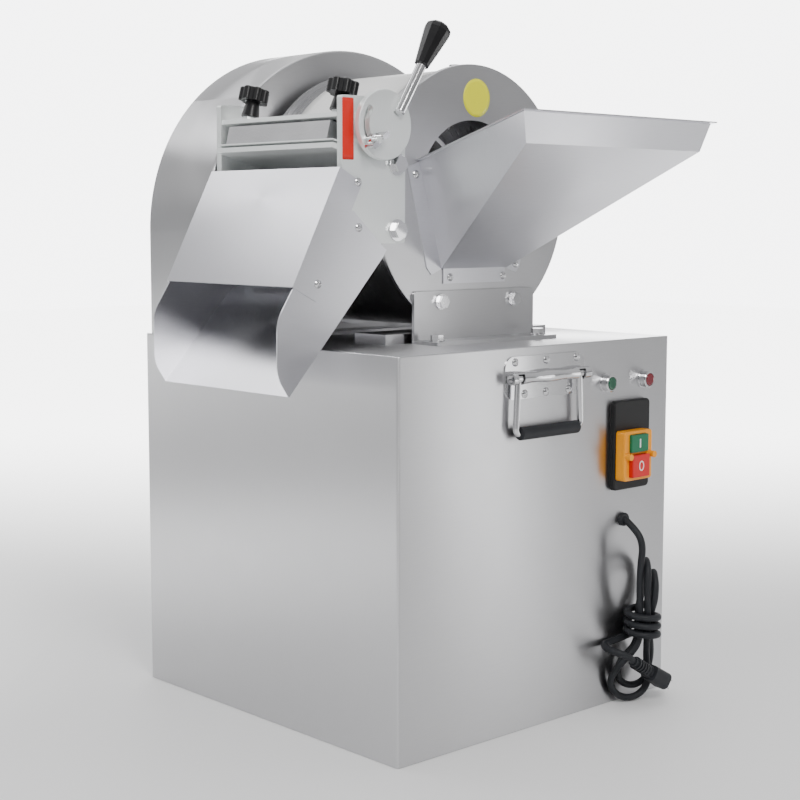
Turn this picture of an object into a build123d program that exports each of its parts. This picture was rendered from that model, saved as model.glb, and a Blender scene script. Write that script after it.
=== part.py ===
from build123d import *
from math import atan2, cos, degrees, hypot, pi, radians, sin, tan
import os

os.makedirs("parts", exist_ok=True)

# Vegetable cutting machine: a sheet steel cabinet carries a drum with a horizontal axis.
# Millimetres. Origin on the floor, at the centre of the cabinet's footprint.
# +Z is up, -Y is the side with the switch and the hopper, -X is the side with the chute.

# Cabinet
cabinet_width = 471
cabinet_depth = 485
cabinet_height = 460
cabinet_sheet = 2
cabinet_bend = 3
base_thickness = 3
base_flange_height = 25
access_width = 330
access_height = 170
cabinet_edge_radius = 1.5
access_center_height = 185
panel_lap = 18
panel_sheet = 1.5
louvre_count = 7
louvre_pitch = 18
louvre_width = 220
louvre_height = 5

# Drum
drum_axis_height = cabinet_height + 172
drum_plate_radius = 162
drum_plate_thickness = 6
drum_radius = 157
drum_wall = 3
drum_front = -124
drum_length = 206
window_top_angle = 25.5
window_bottom_angle = 7
feed_radius = 89
feed_shift = -3
feed_rise = 6

# Main shaft, bearings and impeller
shaft_radius = 14
running_clearance = 0.05
seat_gap = 0.3
bearing_radius = 31
bearing_width = 12
housing_radius = 40
housing_length = 36
housing_flange_radius = 55
housing_flange_thickness = 8
impeller_gap = 4
impeller_disc_thickness = 5
impeller_hub_radius = 30
impeller_hub_length = 45
vane_count = 3
vane_thickness = 5
vane_inner_radius = 55
vane_arc_radius = 95
vane_twist = 25

# Gears, belt and motor
gear_module = 4
main_gear_teeth = 78
rotor_gear_teeth = 15
gear_width = 12
gear_backlash = 0.35
gear_start = 134
pulley_start = 150
pulley_width = 20
driven_pulley_radius = 95
motor_pulley_radius = 38
groove_depth = 9
belt_width = 11
belt_thickness = 8
motor_axis_height = 118
motor_radius = 66
motor_length = 190
motor_face = 128
motor_shaft_radius = 9.5
motor_fin_height = 6
motor_fin_count = 24

# Brackets and tray under the drum
bracket_half_width = 104
bracket_height = 62
bracket_sheet = 4
bracket_foot = 44
bracket_bend = 4
bracket_bolt_spacing = 127
bracket_bolt_height = 49
bracket_bolt_shift = 3.5
foot_bolt_half_spacing = 88
foot_bolt_reach = 26
rail_half_length = 140
rail_width = 55
rail_height = 12
rail_sheet = 3
bolt_washer_radius = 9.5
bolt_washer_thickness = 1.6
bolt_head_radius = 8
bolt_head_height = 6
shell_bolt_reach = 30
shell_bolt_radius = 6.5
shell_bolt_height = 7

# Belt guard
guard_depth = 122
guard_front = 107
guard_sheet = 2
guard_arch_height = 592
guard_edge_radius = 3
guard_screw_radius = 4

# Side plates and cutting rotors
side_plate_thickness = 9
rotor_distance = gear_module * (main_gear_teeth + rotor_gear_teeth) / 2
disc_rotor_angle = -1.8
rotor_spacing = gear_module * rotor_gear_teeth
crosscut_direction = 258.4
rotor_shaft_radius = 10
bush_radius = 14
blind_bore_depth = 6
disc_knife_radius = 28
disc_knife_thickness = 1.5
disc_knife_pitch = 10
disc_spacer_radius = 13
crosscut_core_radius = 16
crosscut_blade_radius = 27
crosscut_blade_count = 6
crosscut_blade_thickness = 4
rotor_end_gap = 10

# Knife gate, in its own frame: r outwards from the drum axis, t along the drum's tangent
gate_tilt = 15
bar_inner = 163
bar_outer = 234
bar_bottom = -5
bar_thickness = 6
ledge_gap = 2.5
ledge_thickness = 1.7
ledge_overhang = 1
block_travel = 6
block_length = 72
block_height = 21.5
block_near_end = 12.5
block_far_end = 16
clamp_gap = 3.6
clamp_width = 40
clamp_thickness = 5.2
clamp_overhang = 1
knob_inset = 14
knob_near_end = 18.5
knob_far_end = 34
stud_radius = 4
lock_nut_height = 6.5
knob_hub_height = 19
knob_hub_radius = 11
knob_neck_radius = 8
knob_head_height = 16
knob_radius = 18.5
knob_lobes = 7
blade_thickness = 2
blade_length = 24
blade_edge = (154.5, -2.7)
blade_angle = -66
seat_start = 5
seat_back = (152.6, -19.8)

# Thickness lever
gauge_x = -167
gauge_height = 714
gauge_shaft_radius = 7
cam_radius = 9
cam_clearance = 0.45
cam_inset = 50
cam_width = 12
gauge_swing = 75
quadrant_radius = 40
quadrant_thickness = 8
quadrant_gap = 6
slot_radius = 29
slot_half_width = 4.5
stud_angle = 220
lever_angle = 58
lever_offset = 6.3
lever_radius = 6
lever_sink = 1
lever_start = 19
lever_end = 98
grip_socket = 12
grip_sides = 10
grip_sections = [(0, 8.8), (24, 12.8), (46, 16.3), (51, 15.4), (54.5, 12), (56, 6)]
wing_nut_radius = 8
wing_nut_height = 9
wing_span = 14

# Hood and chute
chute_sheet = 1.5
chute_lip_radius = 40
hood_top = (-226, 665.7)
hood_bottom = (-295, 533.3)
hood_flange = 37.5

# Hopper
hopper_sheet = 1.5
hopper_depth = 231
hopper_bottom_half = 56.5
hopper_bottom_height = 547.5
hopper_top_half = 94
hopper_top_height = 677
hopper_lip_half = 150.5
hopper_lip_height = 687
hopper_rim_height = 721
hopper_rim_lean = 7
hopper_rim_half = 162
rim_flange = 5
hopper_flange = 19

# Switch, lamps, handles and cable
switch_x = 156.5
switch_height = 328
switch_plate_width = 69
switch_plate_height = 112
switch_plate_depth = 7.5
housing_x = 152
housing_height_center = 316
switch_housing_width = 54
switch_housing_height = 62
switch_housing_depth = 14
button_travel = 3
lamp_x = 109.5
lamp_spacing = 73.5
lamp_height = 408
lamp_radius = 11.5
lamp_flange = 3
lamp_reach = 14
lens_radius = 8.2
handle_x = 0
handle_height = 424.5
handle_plate_width = 138
handle_plate_height = 50
handle_plate_sheet = 1.5
handle_plate_corner = 14
handle_barrel_length = 135
handle_barrel_radius = 7.5
handle_barrel_dent = 1.4
handle_dent_place = 28
bail_x = -2
bail_height = 424.7
bail_top_half = 53.5
bail_low_half = 56.5
bail_drop = 64.5
bail_radius = 3.8
bail_bend = 6
bail_pin_length = 14
bail_slot_gap = 0.7
pin_radius = 2.5
grip_radius = 7.8
cable_x = 148
cable_height = 233
cable_radius = 4.5
grommet_radius = 8.5
grommet_reach = 6

front_face = -cabinet_depth / 2
rear_face = cabinet_depth / 2
inner_width = cabinet_width - 2 * cabinet_sheet
inner_depth = cabinet_depth - 2 * cabinet_sheet
drum_rear = drum_front + 2 * drum_plate_thickness + drum_length
shell_front = drum_front + drum_plate_thickness
shell_rear = shell_front + drum_length
drum_inner_radius = drum_radius - drum_wall
near_inner = drum_front
near_outer = drum_front - side_plate_thickness
far_inner = drum_rear
far_outer = drum_rear + side_plate_thickness
gear_axis_a = (
    -rotor_distance * cos(radians(disc_rotor_angle)),
    drum_axis_height + rotor_distance * sin(radians(disc_rotor_angle)),
)
gear_axis_b = (
    gear_axis_a[0] + rotor_spacing * cos(radians(crosscut_direction)),
    gear_axis_a[1] + rotor_spacing * sin(radians(crosscut_direction)),
)


def section(y):
    """Plane across the drum's axis: local x is X, local y is Z, extrusions go to -Y."""
    return Plane(origin=(0, y, 0), x_dir=(1, 0, 0), z_dir=(0, -1, 0))


def gate_plane(y):
    """Plane of the knife gate: local x is r, local y is t, extrusions go to +Y."""
    tilt = radians(gate_tilt)
    return Plane(
        origin=(0, y, drum_axis_height),
        x_dir=(-cos(tilt), 0, sin(tilt)),
        z_dir=(0, 1, 0),
    )


def gate_point(r, t, y):
    """Point of the knife gate's frame in the machine's frame."""
    return gate_plane(y).from_local_coords(Vector(r, t, 0))


def gate_stack_plane(t, y):
    """Plane square to the gate's clamping direction, centred on a star knob's axis."""
    tilt = radians(gate_tilt)
    return Plane(
        origin=gate_point(bar_outer - knob_inset, t, y),
        x_dir=(0, 1, 0),
        z_dir=(sin(tilt), 0, cos(tilt)),
    )


def polar(center, radius, angle):
    """Point at a radius and an angle in degrees from a centre, in a section."""
    return (
        center[0] + radius * cos(radians(angle)),
        center[1] + radius * sin(radians(angle)),
    )


# Cabinet of folded sheet, open below and with a service opening in its rear wall
with BuildPart() as cabinet_body:
    with BuildSketch(Plane.XY):
        RectangleRounded(cabinet_width, cabinet_depth, cabinet_bend)
    extrude(amount=cabinet_height)
    with BuildSketch(Plane.XY):
        RectangleRounded(inner_width, inner_depth, cabinet_bend - cabinet_sheet)
    extrude(amount=cabinet_height - cabinet_sheet, mode=Mode.SUBTRACT)
    with BuildSketch(Plane.XY.offset(cabinet_height - cabinet_sheet)):
        with Locations((0, pulley_start + pulley_width / 2)):
            Rectangle(2 * driven_pulley_radius + 20, pulley_width + 16)
    extrude(amount=cabinet_sheet, mode=Mode.SUBTRACT)
    with BuildSketch(section(rear_face)):
        with Locations((0, access_center_height)):
            Rectangle(access_width, access_height)
    extrude(amount=cabinet_sheet, mode=Mode.SUBTRACT)
    with BuildSketch(section(front_face + cabinet_sheet)):
        with Locations((cable_x, cable_height)):
            Circle(grommet_radius - 2)
        with Locations((lamp_x, lamp_height), (lamp_x + lamp_spacing, lamp_height)):
            Circle(lamp_radius - 3)
        with Locations((switch_x, switch_height)):
            Rectangle(switch_plate_width - 24, switch_plate_height - 30)
    extrude(amount=cabinet_sheet, mode=Mode.SUBTRACT)
    fillet(cabinet_body.faces().sort_by(Axis.Z)[-1].outer_wire().edges(), cabinet_edge_radius)
cabinet_body.part.label = "cabinet_body"
export_step(cabinet_body.part, "parts/cabinet_body.step")

# Base tray inside the walls, which carries the motor
with BuildPart() as base_plate:
    with BuildSketch(Plane.XY):
        RectangleRounded(inner_width, inner_depth, cabinet_bend - cabinet_sheet)
    extrude(amount=base_flange_height)
    with BuildSketch(Plane.XY.offset(base_thickness)):
        Rectangle(inner_width - 2 * base_thickness, inner_depth - 2 * base_thickness)
    extrude(amount=base_flange_height, mode=Mode.SUBTRACT)
base_plate.part.label = "base_plate"
export_step(base_plate.part, "parts/base_plate.step")

# Louvred panel over the service opening
with BuildPart() as rear_panel:
    with BuildSketch(section(rear_face + panel_sheet)):
        with Locations((0, access_center_height)):
            RectangleRounded(access_width + 2 * panel_lap, access_height + 2 * panel_lap, 4)
    extrude(amount=panel_sheet)
    with BuildSketch(section(rear_face + panel_sheet)):
        with Locations((0, access_center_height)):
            with GridLocations(0, louvre_pitch, 1, louvre_count):
                SlotOverall(louvre_width, louvre_height)
    extrude(amount=panel_sheet, mode=Mode.SUBTRACT)
    with BuildSketch(section(rear_face + panel_sheet)):
        with Locations((0, access_center_height)):
            with GridLocations(access_width + panel_lap, access_height + panel_lap, 2, 2):
                Circle(4)
    extrude(amount=-3)
rear_panel.part.label = "rear_panel"
export_step(rear_panel.part, "parts/rear_panel.step")

# Closed channel on the cabinet, just under the front of the drum
with BuildPart() as drum_rail:
    with BuildSketch(Plane.XY.offset(cabinet_height)):
        with Locations((0, shell_front + 1 + rail_width / 2)):
            Rectangle(2 * rail_half_length, rail_width)
    extrude(amount=rail_height)
    with BuildSketch(Plane.XY.offset(cabinet_height)):
        with Locations((0, shell_front + 1 + rail_width / 2)):
            Rectangle(2 * (rail_half_length - rail_sheet), rail_width - 2 * rail_sheet)
    extrude(amount=rail_height - rail_sheet, mode=Mode.SUBTRACT)
drum_rail.part.label = "drum_rail"
export_step(drum_rail.part, "parts/drum_rail.step")


def angle_profile(face_y, foot_y):
    """Edges of an angle: upright in front of or behind a drum plate, foot on the cabinet."""
    side = 1 if face_y > 0 else -1
    outer_y = face_y + side * bracket_sheet
    foot_side = 1 if foot_y > face_y else -1
    corner_y = outer_y if foot_side == -side else face_y
    inner_y = face_y if foot_side == -side else outer_y
    Polyline(
        (inner_y, cabinet_height + bracket_height),
        (inner_y, cabinet_height + bracket_sheet),
        (foot_y, cabinet_height + bracket_sheet),
        (foot_y, cabinet_height),
        (corner_y, cabinet_height),
        (corner_y, cabinet_height + bracket_height),
        close=True,
    )


# Angles that carry the drum: the front one's foot points outwards, the rear one's inwards
with BuildPart() as drum_brackets:
    for face_y, foot_y in (
        (drum_front, drum_front - bracket_foot),
        (drum_rear, drum_rear - bracket_foot + bracket_sheet),
    ):
        with BuildSketch(Plane.YZ.offset(-bracket_half_width)):
            with BuildLine():
                angle_profile(face_y, foot_y)
            make_face()
        extrude(amount=2 * bracket_half_width)
    upper_corners = drum_brackets.edges().filter_by(Axis.Y).group_by(Axis.Z)[-1]
    fillet(upper_corners, bracket_bend)
drum_brackets.part.label = "drum_brackets"
export_step(drum_brackets.part, "parts/drum_brackets.step")

# Hexagon bolts through the front bracket's upright, through both feet and on top of the drum
with BuildPart() as bracket_bolts:
    upright_y = drum_front - bracket_sheet
    half_spacing = bracket_bolt_spacing / 2
    bolt_z = cabinet_height + bracket_bolt_height
    upright_places = [(bracket_bolt_shift + side * half_spacing, bolt_z) for side in (-1, 1)]
    foot_z = cabinet_height + bracket_sheet
    foot_places = [
        (side * foot_bolt_half_spacing, foot_y)
        for side in (-1, 1)
        for foot_y in (drum_front - foot_bolt_reach, drum_rear - foot_bolt_reach)
    ]
    with BuildSketch(section(upright_y)):
        with Locations(*upright_places):
            Circle(bolt_washer_radius)
    extrude(amount=bolt_washer_thickness)
    with BuildSketch(section(upright_y - bolt_washer_thickness)):
        with Locations(*upright_places):
            RegularPolygon(bolt_head_radius, 6)
    extrude(amount=bolt_head_height)
    with BuildSketch(Plane.XY.offset(foot_z)):
        with Locations(*foot_places):
            Circle(bolt_washer_radius)
    extrude(amount=bolt_washer_thickness)
    with BuildSketch(Plane.XY.offset(foot_z + bolt_washer_thickness)):
        with Locations(*foot_places):
            RegularPolygon(bolt_head_radius, 6)
    extrude(amount=bolt_head_height)
    with BuildSketch(Plane.XY.offset(drum_axis_height + drum_radius)):
        with Locations((0, shell_front + shell_bolt_reach)):
            RegularPolygon(shell_bolt_radius, 6)
    extrude(amount=shell_bolt_height)
bracket_bolts.part.label = "bracket_bolts"
export_step(bracket_bolts.part, "parts/bracket_bolts.step")

# Drum: front plate with the feed opening, rolled shell with the cutting window, back plate
with BuildPart() as drum_front_plate:
    with BuildSketch(section(shell_front)):
        with Locations((0, drum_axis_height)):
            Circle(drum_plate_radius)
        with Locations((feed_shift, drum_axis_height + feed_rise)):
            Circle(feed_radius, mode=Mode.SUBTRACT)
    extrude(amount=drum_plate_thickness)
    rim = drum_front_plate.edges().filter_by(GeomType.CIRCLE).sort_by(SortBy.RADIUS)[-2:]
    chamfer(rim, 0.8)
drum_front_plate.part.label = "drum_front_plate"
export_step(drum_front_plate.part, "parts/drum_front_plate.step")

with BuildPart() as drum_shell:
    with BuildSketch(section(shell_rear)):
        with Locations((0, drum_axis_height)):
            Circle(drum_radius)
            Circle(drum_inner_radius, mode=Mode.SUBTRACT)
    extrude(amount=drum_length)
    with BuildSketch(section(shell_rear)):
        with BuildLine():
            Polyline(
                (0, drum_axis_height),
                polar((0, drum_axis_height), 2 * drum_radius, 180 - window_top_angle),
                polar((0, drum_axis_height), 2 * drum_radius, 180 - window_bottom_angle),
                close=True,
            )
        make_face()
    extrude(amount=drum_length, mode=Mode.SUBTRACT)
drum_shell.part.label = "drum_shell"
export_step(drum_shell.part, "parts/drum_shell.step")

with BuildPart() as drum_back_plate:
    with BuildSketch(section(drum_rear)):
        with Locations((0, drum_axis_height)):
            Circle(drum_plate_radius)
            Circle(shaft_radius + 4, mode=Mode.SUBTRACT)
    extrude(amount=drum_plate_thickness)
drum_back_plate.part.label = "drum_back_plate"
export_step(drum_back_plate.part, "parts/drum_back_plate.step")

# Bearing housing on the drum's back plate, with two ball bearings and four plain bushes
housing_rear = drum_rear + housing_length
with BuildPart() as bearing_housing:
    with BuildSketch(section(drum_rear + housing_flange_thickness)):
        with Locations((0, drum_axis_height)):
            Circle(housing_flange_radius)
    extrude(amount=housing_flange_thickness)
    with BuildSketch(section(housing_rear)):
        with Locations((0, drum_axis_height)):
            Circle(housing_radius)
    extrude(amount=housing_length - housing_flange_thickness)
    with BuildSketch(section(housing_rear)):
        with Locations((0, drum_axis_height)):
            Circle(bearing_radius)
    extrude(amount=housing_length, mode=Mode.SUBTRACT)
bearing_housing.part.label = "bearing_housing"
export_step(bearing_housing.part, "parts/bearing_housing.step")


with BuildPart() as bearings:
    for bearing_rear in (drum_rear + bearing_width + 4, housing_rear - 4):
        with BuildSketch(section(bearing_rear)):
            with Locations((0, drum_axis_height)):
                Circle(bearing_radius)
                Circle(shaft_radius + running_clearance, mode=Mode.SUBTRACT)
        extrude(amount=bearing_width)
    for bush_rear, bush_length in ((near_inner, blind_bore_depth), (far_outer, side_plate_thickness)):
        with BuildSketch(section(bush_rear)):
            with Locations(gear_axis_a, gear_axis_b):
                Circle(bush_radius)
                Circle(rotor_shaft_radius + running_clearance, mode=Mode.SUBTRACT)
        extrude(amount=bush_length)
bearings.part.label = "bearings"
export_step(bearings.part, "parts/bearings.step")


def arc_slot(center, radius, half_width, start, end):
    """Edges of a slot along an arc, with round ends."""
    outer, inner = radius + half_width, radius - half_width
    middle = (start + end) / 2
    start_center, end_center = polar(center, radius, start), polar(center, radius, end)
    ThreePointArc(polar(center, outer, start), polar(center, outer, middle), polar(center, outer, end))
    ThreePointArc(
        polar(center, outer, end), polar(end_center, half_width, end + 90), polar(center, inner, end)
    )
    ThreePointArc(polar(center, inner, end), polar(center, inner, middle), polar(center, inner, start))
    ThreePointArc(
        polar(center, inner, start),
        polar(start_center, half_width, start - 90),
        polar(center, outer, start),
    )


def arc_through(first, last, radius):
    """Centre, start angle and end angle of an arc that turns left from one point to another."""
    chord = Vector(*last) - Vector(*first)
    height = (radius**2 - chord.length**2 / 4) ** 0.5
    side = Vector(-chord.Y, chord.X) / chord.length
    center = (Vector(*first) + Vector(*last)) / 2 + side * height
    start = degrees(atan2(first[1] - center.Y, first[0] - center.X))
    end = degrees(atan2(last[1] - center.Y, last[0] - center.X))
    return (center.X, center.Y), start, end + 360 if end < start else end


# Main shaft and impeller
shaft_front = shell_rear - impeller_gap - impeller_disc_thickness - impeller_hub_length
shaft_rear = pulley_start + pulley_width + 18
with BuildPart() as main_shaft:
    with BuildSketch(section(shaft_rear)):
        with Locations((0, drum_axis_height)):
            Circle(shaft_radius)
    extrude(amount=shaft_rear - shaft_front)
    chamfer(main_shaft.edges().filter_by(GeomType.CIRCLE), 1)
main_shaft.part.label = "main_shaft"
export_step(main_shaft.part, "parts/main_shaft.step")

impeller_radius = drum_inner_radius - impeller_gap
vane_front = shell_front + impeller_gap
disc_rear = shell_rear - impeller_gap
with BuildPart() as impeller:
    with BuildSketch(section(disc_rear)):
        with Locations((0, drum_axis_height)):
            Circle(impeller_radius)
    extrude(amount=impeller_disc_thickness)
    with BuildSketch(section(disc_rear - impeller_disc_thickness)):
        with Locations((0, drum_axis_height)):
            Circle(impeller_hub_radius)
    extrude(amount=impeller_hub_length)
    with BuildSketch(section(disc_rear - impeller_disc_thickness)):
        for index in range(vane_count):
            angle = 360 / vane_count * index
            axis_point = (0, drum_axis_height)
            vane_arc = arc_through(
                polar(axis_point, vane_inner_radius, angle),
                polar(axis_point, impeller_radius - vane_thickness, angle + vane_twist),
                vane_arc_radius,
            )
            with BuildLine():
                arc_slot(vane_arc[0], vane_arc_radius, vane_thickness / 2, vane_arc[1], vane_arc[2])
            make_face()
    extrude(amount=disc_rear - impeller_disc_thickness - vane_front)
    with BuildSketch(section(disc_rear)):
        with Locations((0, drum_axis_height)):
            Circle(shaft_radius)
    extrude(amount=impeller_hub_length + impeller_disc_thickness, mode=Mode.SUBTRACT)
impeller.part.label = "impeller"
export_step(impeller.part, "parts/impeller.step")


def involute_angle(radius, base_radius):
    """Polar angle of an involute where it reaches a radius, in radians."""
    roll = max((radius / base_radius) ** 2 - 1, 0) ** 0.5
    return roll - atan2(roll, 1)


def tooth_outline(center, teeth, phase):
    """Closed outline of a spur gear with involute flanks, one tooth centred on the phase angle."""
    pitch_radius = gear_module * teeth / 2
    base_radius = pitch_radius * cos(radians(20))
    tip_radius = pitch_radius + 0.85 * gear_module
    root_radius = pitch_radius - 1.15 * gear_module
    half_at_pitch = pi / (2 * teeth) - gear_backlash / (2 * pitch_radius)
    pitch_involute = involute_angle(pitch_radius, base_radius)
    flank_start = max(base_radius, root_radius + 0.4)
    radii = [flank_start + (tip_radius - flank_start) * step / 3 for step in range(4)]
    half_angles = [half_at_pitch + pitch_involute - involute_angle(r, base_radius) for r in radii]
    half_tooth = [(root_radius, half_angles[0] + 0.3 / root_radius)] + list(zip(radii, half_angles))
    points = []
    for index in range(teeth):
        middle = radians(phase) + 2 * pi * index / teeth
        for radius, half in half_tooth:
            points.append((radius, middle - half))
        for radius, half in reversed(half_tooth):
            points.append((radius, middle + half))
    return [(center[0] + r * cos(a), center[1] + r * sin(a)) for r, a in points]


def meshing_phase(phase, teeth, other_teeth, direction):
    """Phase of a second gear whose gap takes the first gear's tooth in a direction."""
    pitch_angle = 360 / teeth
    offset = (phase - direction + pitch_angle / 2) % pitch_angle - pitch_angle / 2
    gap = direction + 180 - offset * teeth / other_teeth
    return gap + 180 / other_teeth


main_phase = 180 - disc_rotor_angle
disc_phase = meshing_phase(main_phase, main_gear_teeth, rotor_gear_teeth, main_phase)
crosscut_phase = meshing_phase(disc_phase, rotor_gear_teeth, rotor_gear_teeth, crosscut_direction)
gear_rear = gear_start + gear_width

with BuildPart() as main_gear:
    with BuildSketch(section(gear_rear)):
        with BuildLine():
            Polyline(*tooth_outline((0, drum_axis_height), main_gear_teeth, main_phase), close=True)
        make_face()
        with Locations((0, drum_axis_height)):
            with PolarLocations(92, 5):
                Circle(30, mode=Mode.SUBTRACT)
            Circle(shaft_radius, mode=Mode.SUBTRACT)
    extrude(amount=gear_width)
main_gear.part.label = "main_gear"
export_step(main_gear.part, "parts/main_gear.step")


def rotor_gear(center, phase):
    """Small spur gear on a rotor shaft."""
    with BuildPart() as gear:
        with BuildSketch(section(gear_rear)):
            with BuildLine():
                Polyline(*tooth_outline(center, rotor_gear_teeth, phase), close=True)
            make_face()
            with Locations(center):
                Circle(rotor_shaft_radius, mode=Mode.SUBTRACT)
        extrude(amount=gear_width)
    return gear


disc_gear = rotor_gear(gear_axis_a, disc_phase)
disc_gear.part.label = "disc_gear"
export_step(disc_gear.part, "parts/disc_gear.step")

crosscut_gear = rotor_gear(gear_axis_b, crosscut_phase)
crosscut_gear.part.label = "crosscut_gear"
export_step(crosscut_gear.part, "parts/crosscut_gear.step")


def pulley_profile(outer_radius, bore_radius):
    """Half section of a pulley with one V groove, radius along local x, width along local y."""
    middle = pulley_width / 2
    groove_half = belt_width / 2 + 1.5
    Polyline(
        (bore_radius, 0),
        (outer_radius, 0),
        (outer_radius, middle - groove_half),
        (outer_radius - groove_depth, middle - belt_width / 2 - seat_gap),
        (outer_radius - groove_depth, middle + belt_width / 2 + seat_gap),
        (outer_radius, middle + groove_half),
        (outer_radius, pulley_width),
        (bore_radius, pulley_width),
        close=True,
    )


def pulley_plane(height):
    """Plane through a pulley's axis: local x is the radius, local y runs along +Y."""
    return Plane(origin=(0, pulley_start, height), x_dir=(1, 0, 0), z_dir=(0, 0, 1))


with BuildPart() as driven_pulley:
    with BuildSketch(pulley_plane(drum_axis_height)):
        with BuildLine():
            pulley_profile(driven_pulley_radius, shaft_radius)
        make_face()
    revolve(axis=Axis((0, 0, drum_axis_height), (0, 1, 0)))
    with BuildSketch(section(pulley_start + pulley_width)):
        with Locations((0, drum_axis_height)):
            Circle(driven_pulley_radius - groove_depth - 12)
            Circle(shaft_radius + 14, mode=Mode.SUBTRACT)
            with PolarLocations(0, 4):
                Rectangle(2 * driven_pulley_radius, 12, mode=Mode.SUBTRACT)
    extrude(amount=pulley_width, mode=Mode.SUBTRACT)
driven_pulley.part.label = "driven_pulley"
export_step(driven_pulley.part, "parts/driven_pulley.step")

# Motor in the cabinet with its shaft and pulley
with BuildPart() as motor:
    with BuildSketch(section(motor_face)):
        with Locations((0, motor_axis_height)):
            Circle(motor_radius)
            with PolarLocations(motor_radius, motor_fin_count):
                Rectangle(2 * motor_fin_height, 2.4)
    extrude(amount=motor_length)
    with BuildSketch(section(motor_face + 12)):
        with Locations((0, motor_axis_height)):
            Circle(motor_radius - 8)
    extrude(amount=12)
    with BuildSketch(section(motor_face - motor_length)):
        with Locations((0, motor_axis_height)):
            Circle(motor_radius)
    extrude(amount=34)
    with BuildSketch(Plane.XY.offset(base_thickness)):
        with Locations((0, motor_face - motor_length / 2)):
            Rectangle(1.6 * motor_radius, motor_length - 40)
    extrude(amount=12)
    with BuildSketch(Plane.XY.offset(base_thickness)):
        with Locations((0, motor_face - motor_length / 2)):
            with GridLocations(1.2 * motor_radius, 0, 2, 1):
                Rectangle(14, motor_length - 60)
    extrude(amount=motor_axis_height - motor_radius + 10)
    with BuildSketch(Plane.XY.offset(motor_axis_height + motor_radius - 6)):
        with Locations((0, motor_face - motor_length / 2)):
            RectangleRounded(70, 84, 5)
    extrude(amount=34)
    with BuildSketch(section(motor_face + 12)):
        with Locations((0, motor_axis_height)):
            Circle(motor_shaft_radius + running_clearance)
    extrude(amount=40, mode=Mode.SUBTRACT)
motor.part.label = "motor"
export_step(motor.part, "parts/motor.step")

with BuildPart() as motor_pulley:
    with BuildSketch(pulley_plane(motor_axis_height)):
        with BuildLine():
            pulley_profile(motor_pulley_radius, motor_shaft_radius - 2)
        make_face()
    revolve(axis=Axis((0, 0, motor_axis_height), (0, 1, 0)))
    with BuildSketch(section(pulley_start + pulley_width + 4)):
        with Locations((0, motor_axis_height)):
            Circle(motor_shaft_radius)
    extrude(amount=pulley_start + pulley_width + 4 - motor_face + 25)
motor_pulley.part.label = "motor_pulley"
export_step(motor_pulley.part, "parts/motor_pulley.step")


with BuildPart() as drive_belt:
    with BuildSketch(section(pulley_start + (pulley_width + belt_width) / 2)):
        with Locations((0, drum_axis_height)):
            Circle(driven_pulley_radius - groove_depth + seat_gap + belt_thickness)
        with Locations((0, motor_axis_height)):
            Circle(motor_pulley_radius - groove_depth + seat_gap + belt_thickness)
        make_hull()
    extrude(amount=belt_width)
    with BuildSketch(section(pulley_start + (pulley_width + belt_width) / 2)):
        with Locations((0, drum_axis_height)):
            Circle(driven_pulley_radius - groove_depth + seat_gap)
        with Locations((0, motor_axis_height)):
            Circle(motor_pulley_radius - groove_depth + seat_gap)
        make_hull()
    extrude(amount=belt_width, mode=Mode.SUBTRACT)
drive_belt.part.label = "drive_belt"
export_step(drive_belt.part, "parts/drive_belt.step")


def guard_outline(inset):
    """Arch over the belt: straight sides on the cabinet and a round top."""
    with Locations((0, guard_arch_height)):
        Circle(cabinet_width / 2 - inset)
    with Locations((0, (guard_arch_height + cabinet_height) / 2)):
        Rectangle(cabinet_width - 2 * inset, guard_arch_height - cabinet_height)
    below = guard_arch_height - cabinet_width / 2
    with Locations((0, (below + cabinet_height) / 2 - 10)):
        Rectangle(cabinet_width, cabinet_height - below + 20, mode=Mode.SUBTRACT)


guard_rear = guard_front + guard_depth
with BuildPart() as belt_guard:
    with BuildSketch(section(guard_rear)):
        guard_outline(0)
    extrude(amount=guard_depth)
    with BuildSketch(section(guard_rear - guard_sheet)):
        guard_outline(guard_sheet)
    extrude(amount=guard_depth - 2 * guard_sheet, mode=Mode.SUBTRACT)
    outer_edges = belt_guard.faces().filter_by(Axis.Y).sort_by(Axis.Y)[0].edges()
    fillet(outer_edges.filter_by(lambda e: e.center().Z > cabinet_height + 1), guard_edge_radius)
    with BuildSketch(Plane.XY.offset(cabinet_height)):
        with Locations((0, guard_front + guard_depth / 2)):
            Rectangle(cabinet_width - 2 * guard_sheet, guard_depth - 2 * guard_sheet)
    extrude(amount=guard_sheet, mode=Mode.SUBTRACT)
    with BuildSketch(section(guard_front + guard_sheet)):
        with Locations((0, drum_axis_height)):
            Circle(housing_radius + 1)
        with Locations(gear_axis_a, gear_axis_b):
            Circle(rotor_shaft_radius + 3)
    extrude(amount=guard_sheet, mode=Mode.SUBTRACT)
    with BuildSketch(section(guard_rear)):
        with Locations((0, guard_arch_height)):
            with PolarLocations(cabinet_width / 2 - 12, 5, 0, 225):
                Circle(guard_screw_radius)
    extrude(amount=-2.5)
belt_guard.part.label = "belt_guard"
export_step(belt_guard.part, "parts/belt_guard.step")

# Side plates that carry the gate, the rotors and the thickness shaft
side_plate_outline = [
    (-220, 745.8),
    (-186, 745.8),
    (-128, 700),
    (-124, 689),
    (-124, 580),
    (-161.6, 580),
    (-176, 550),
    (-222, 550),
    (-232, 600),
    (-220, 667),
]


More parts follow.
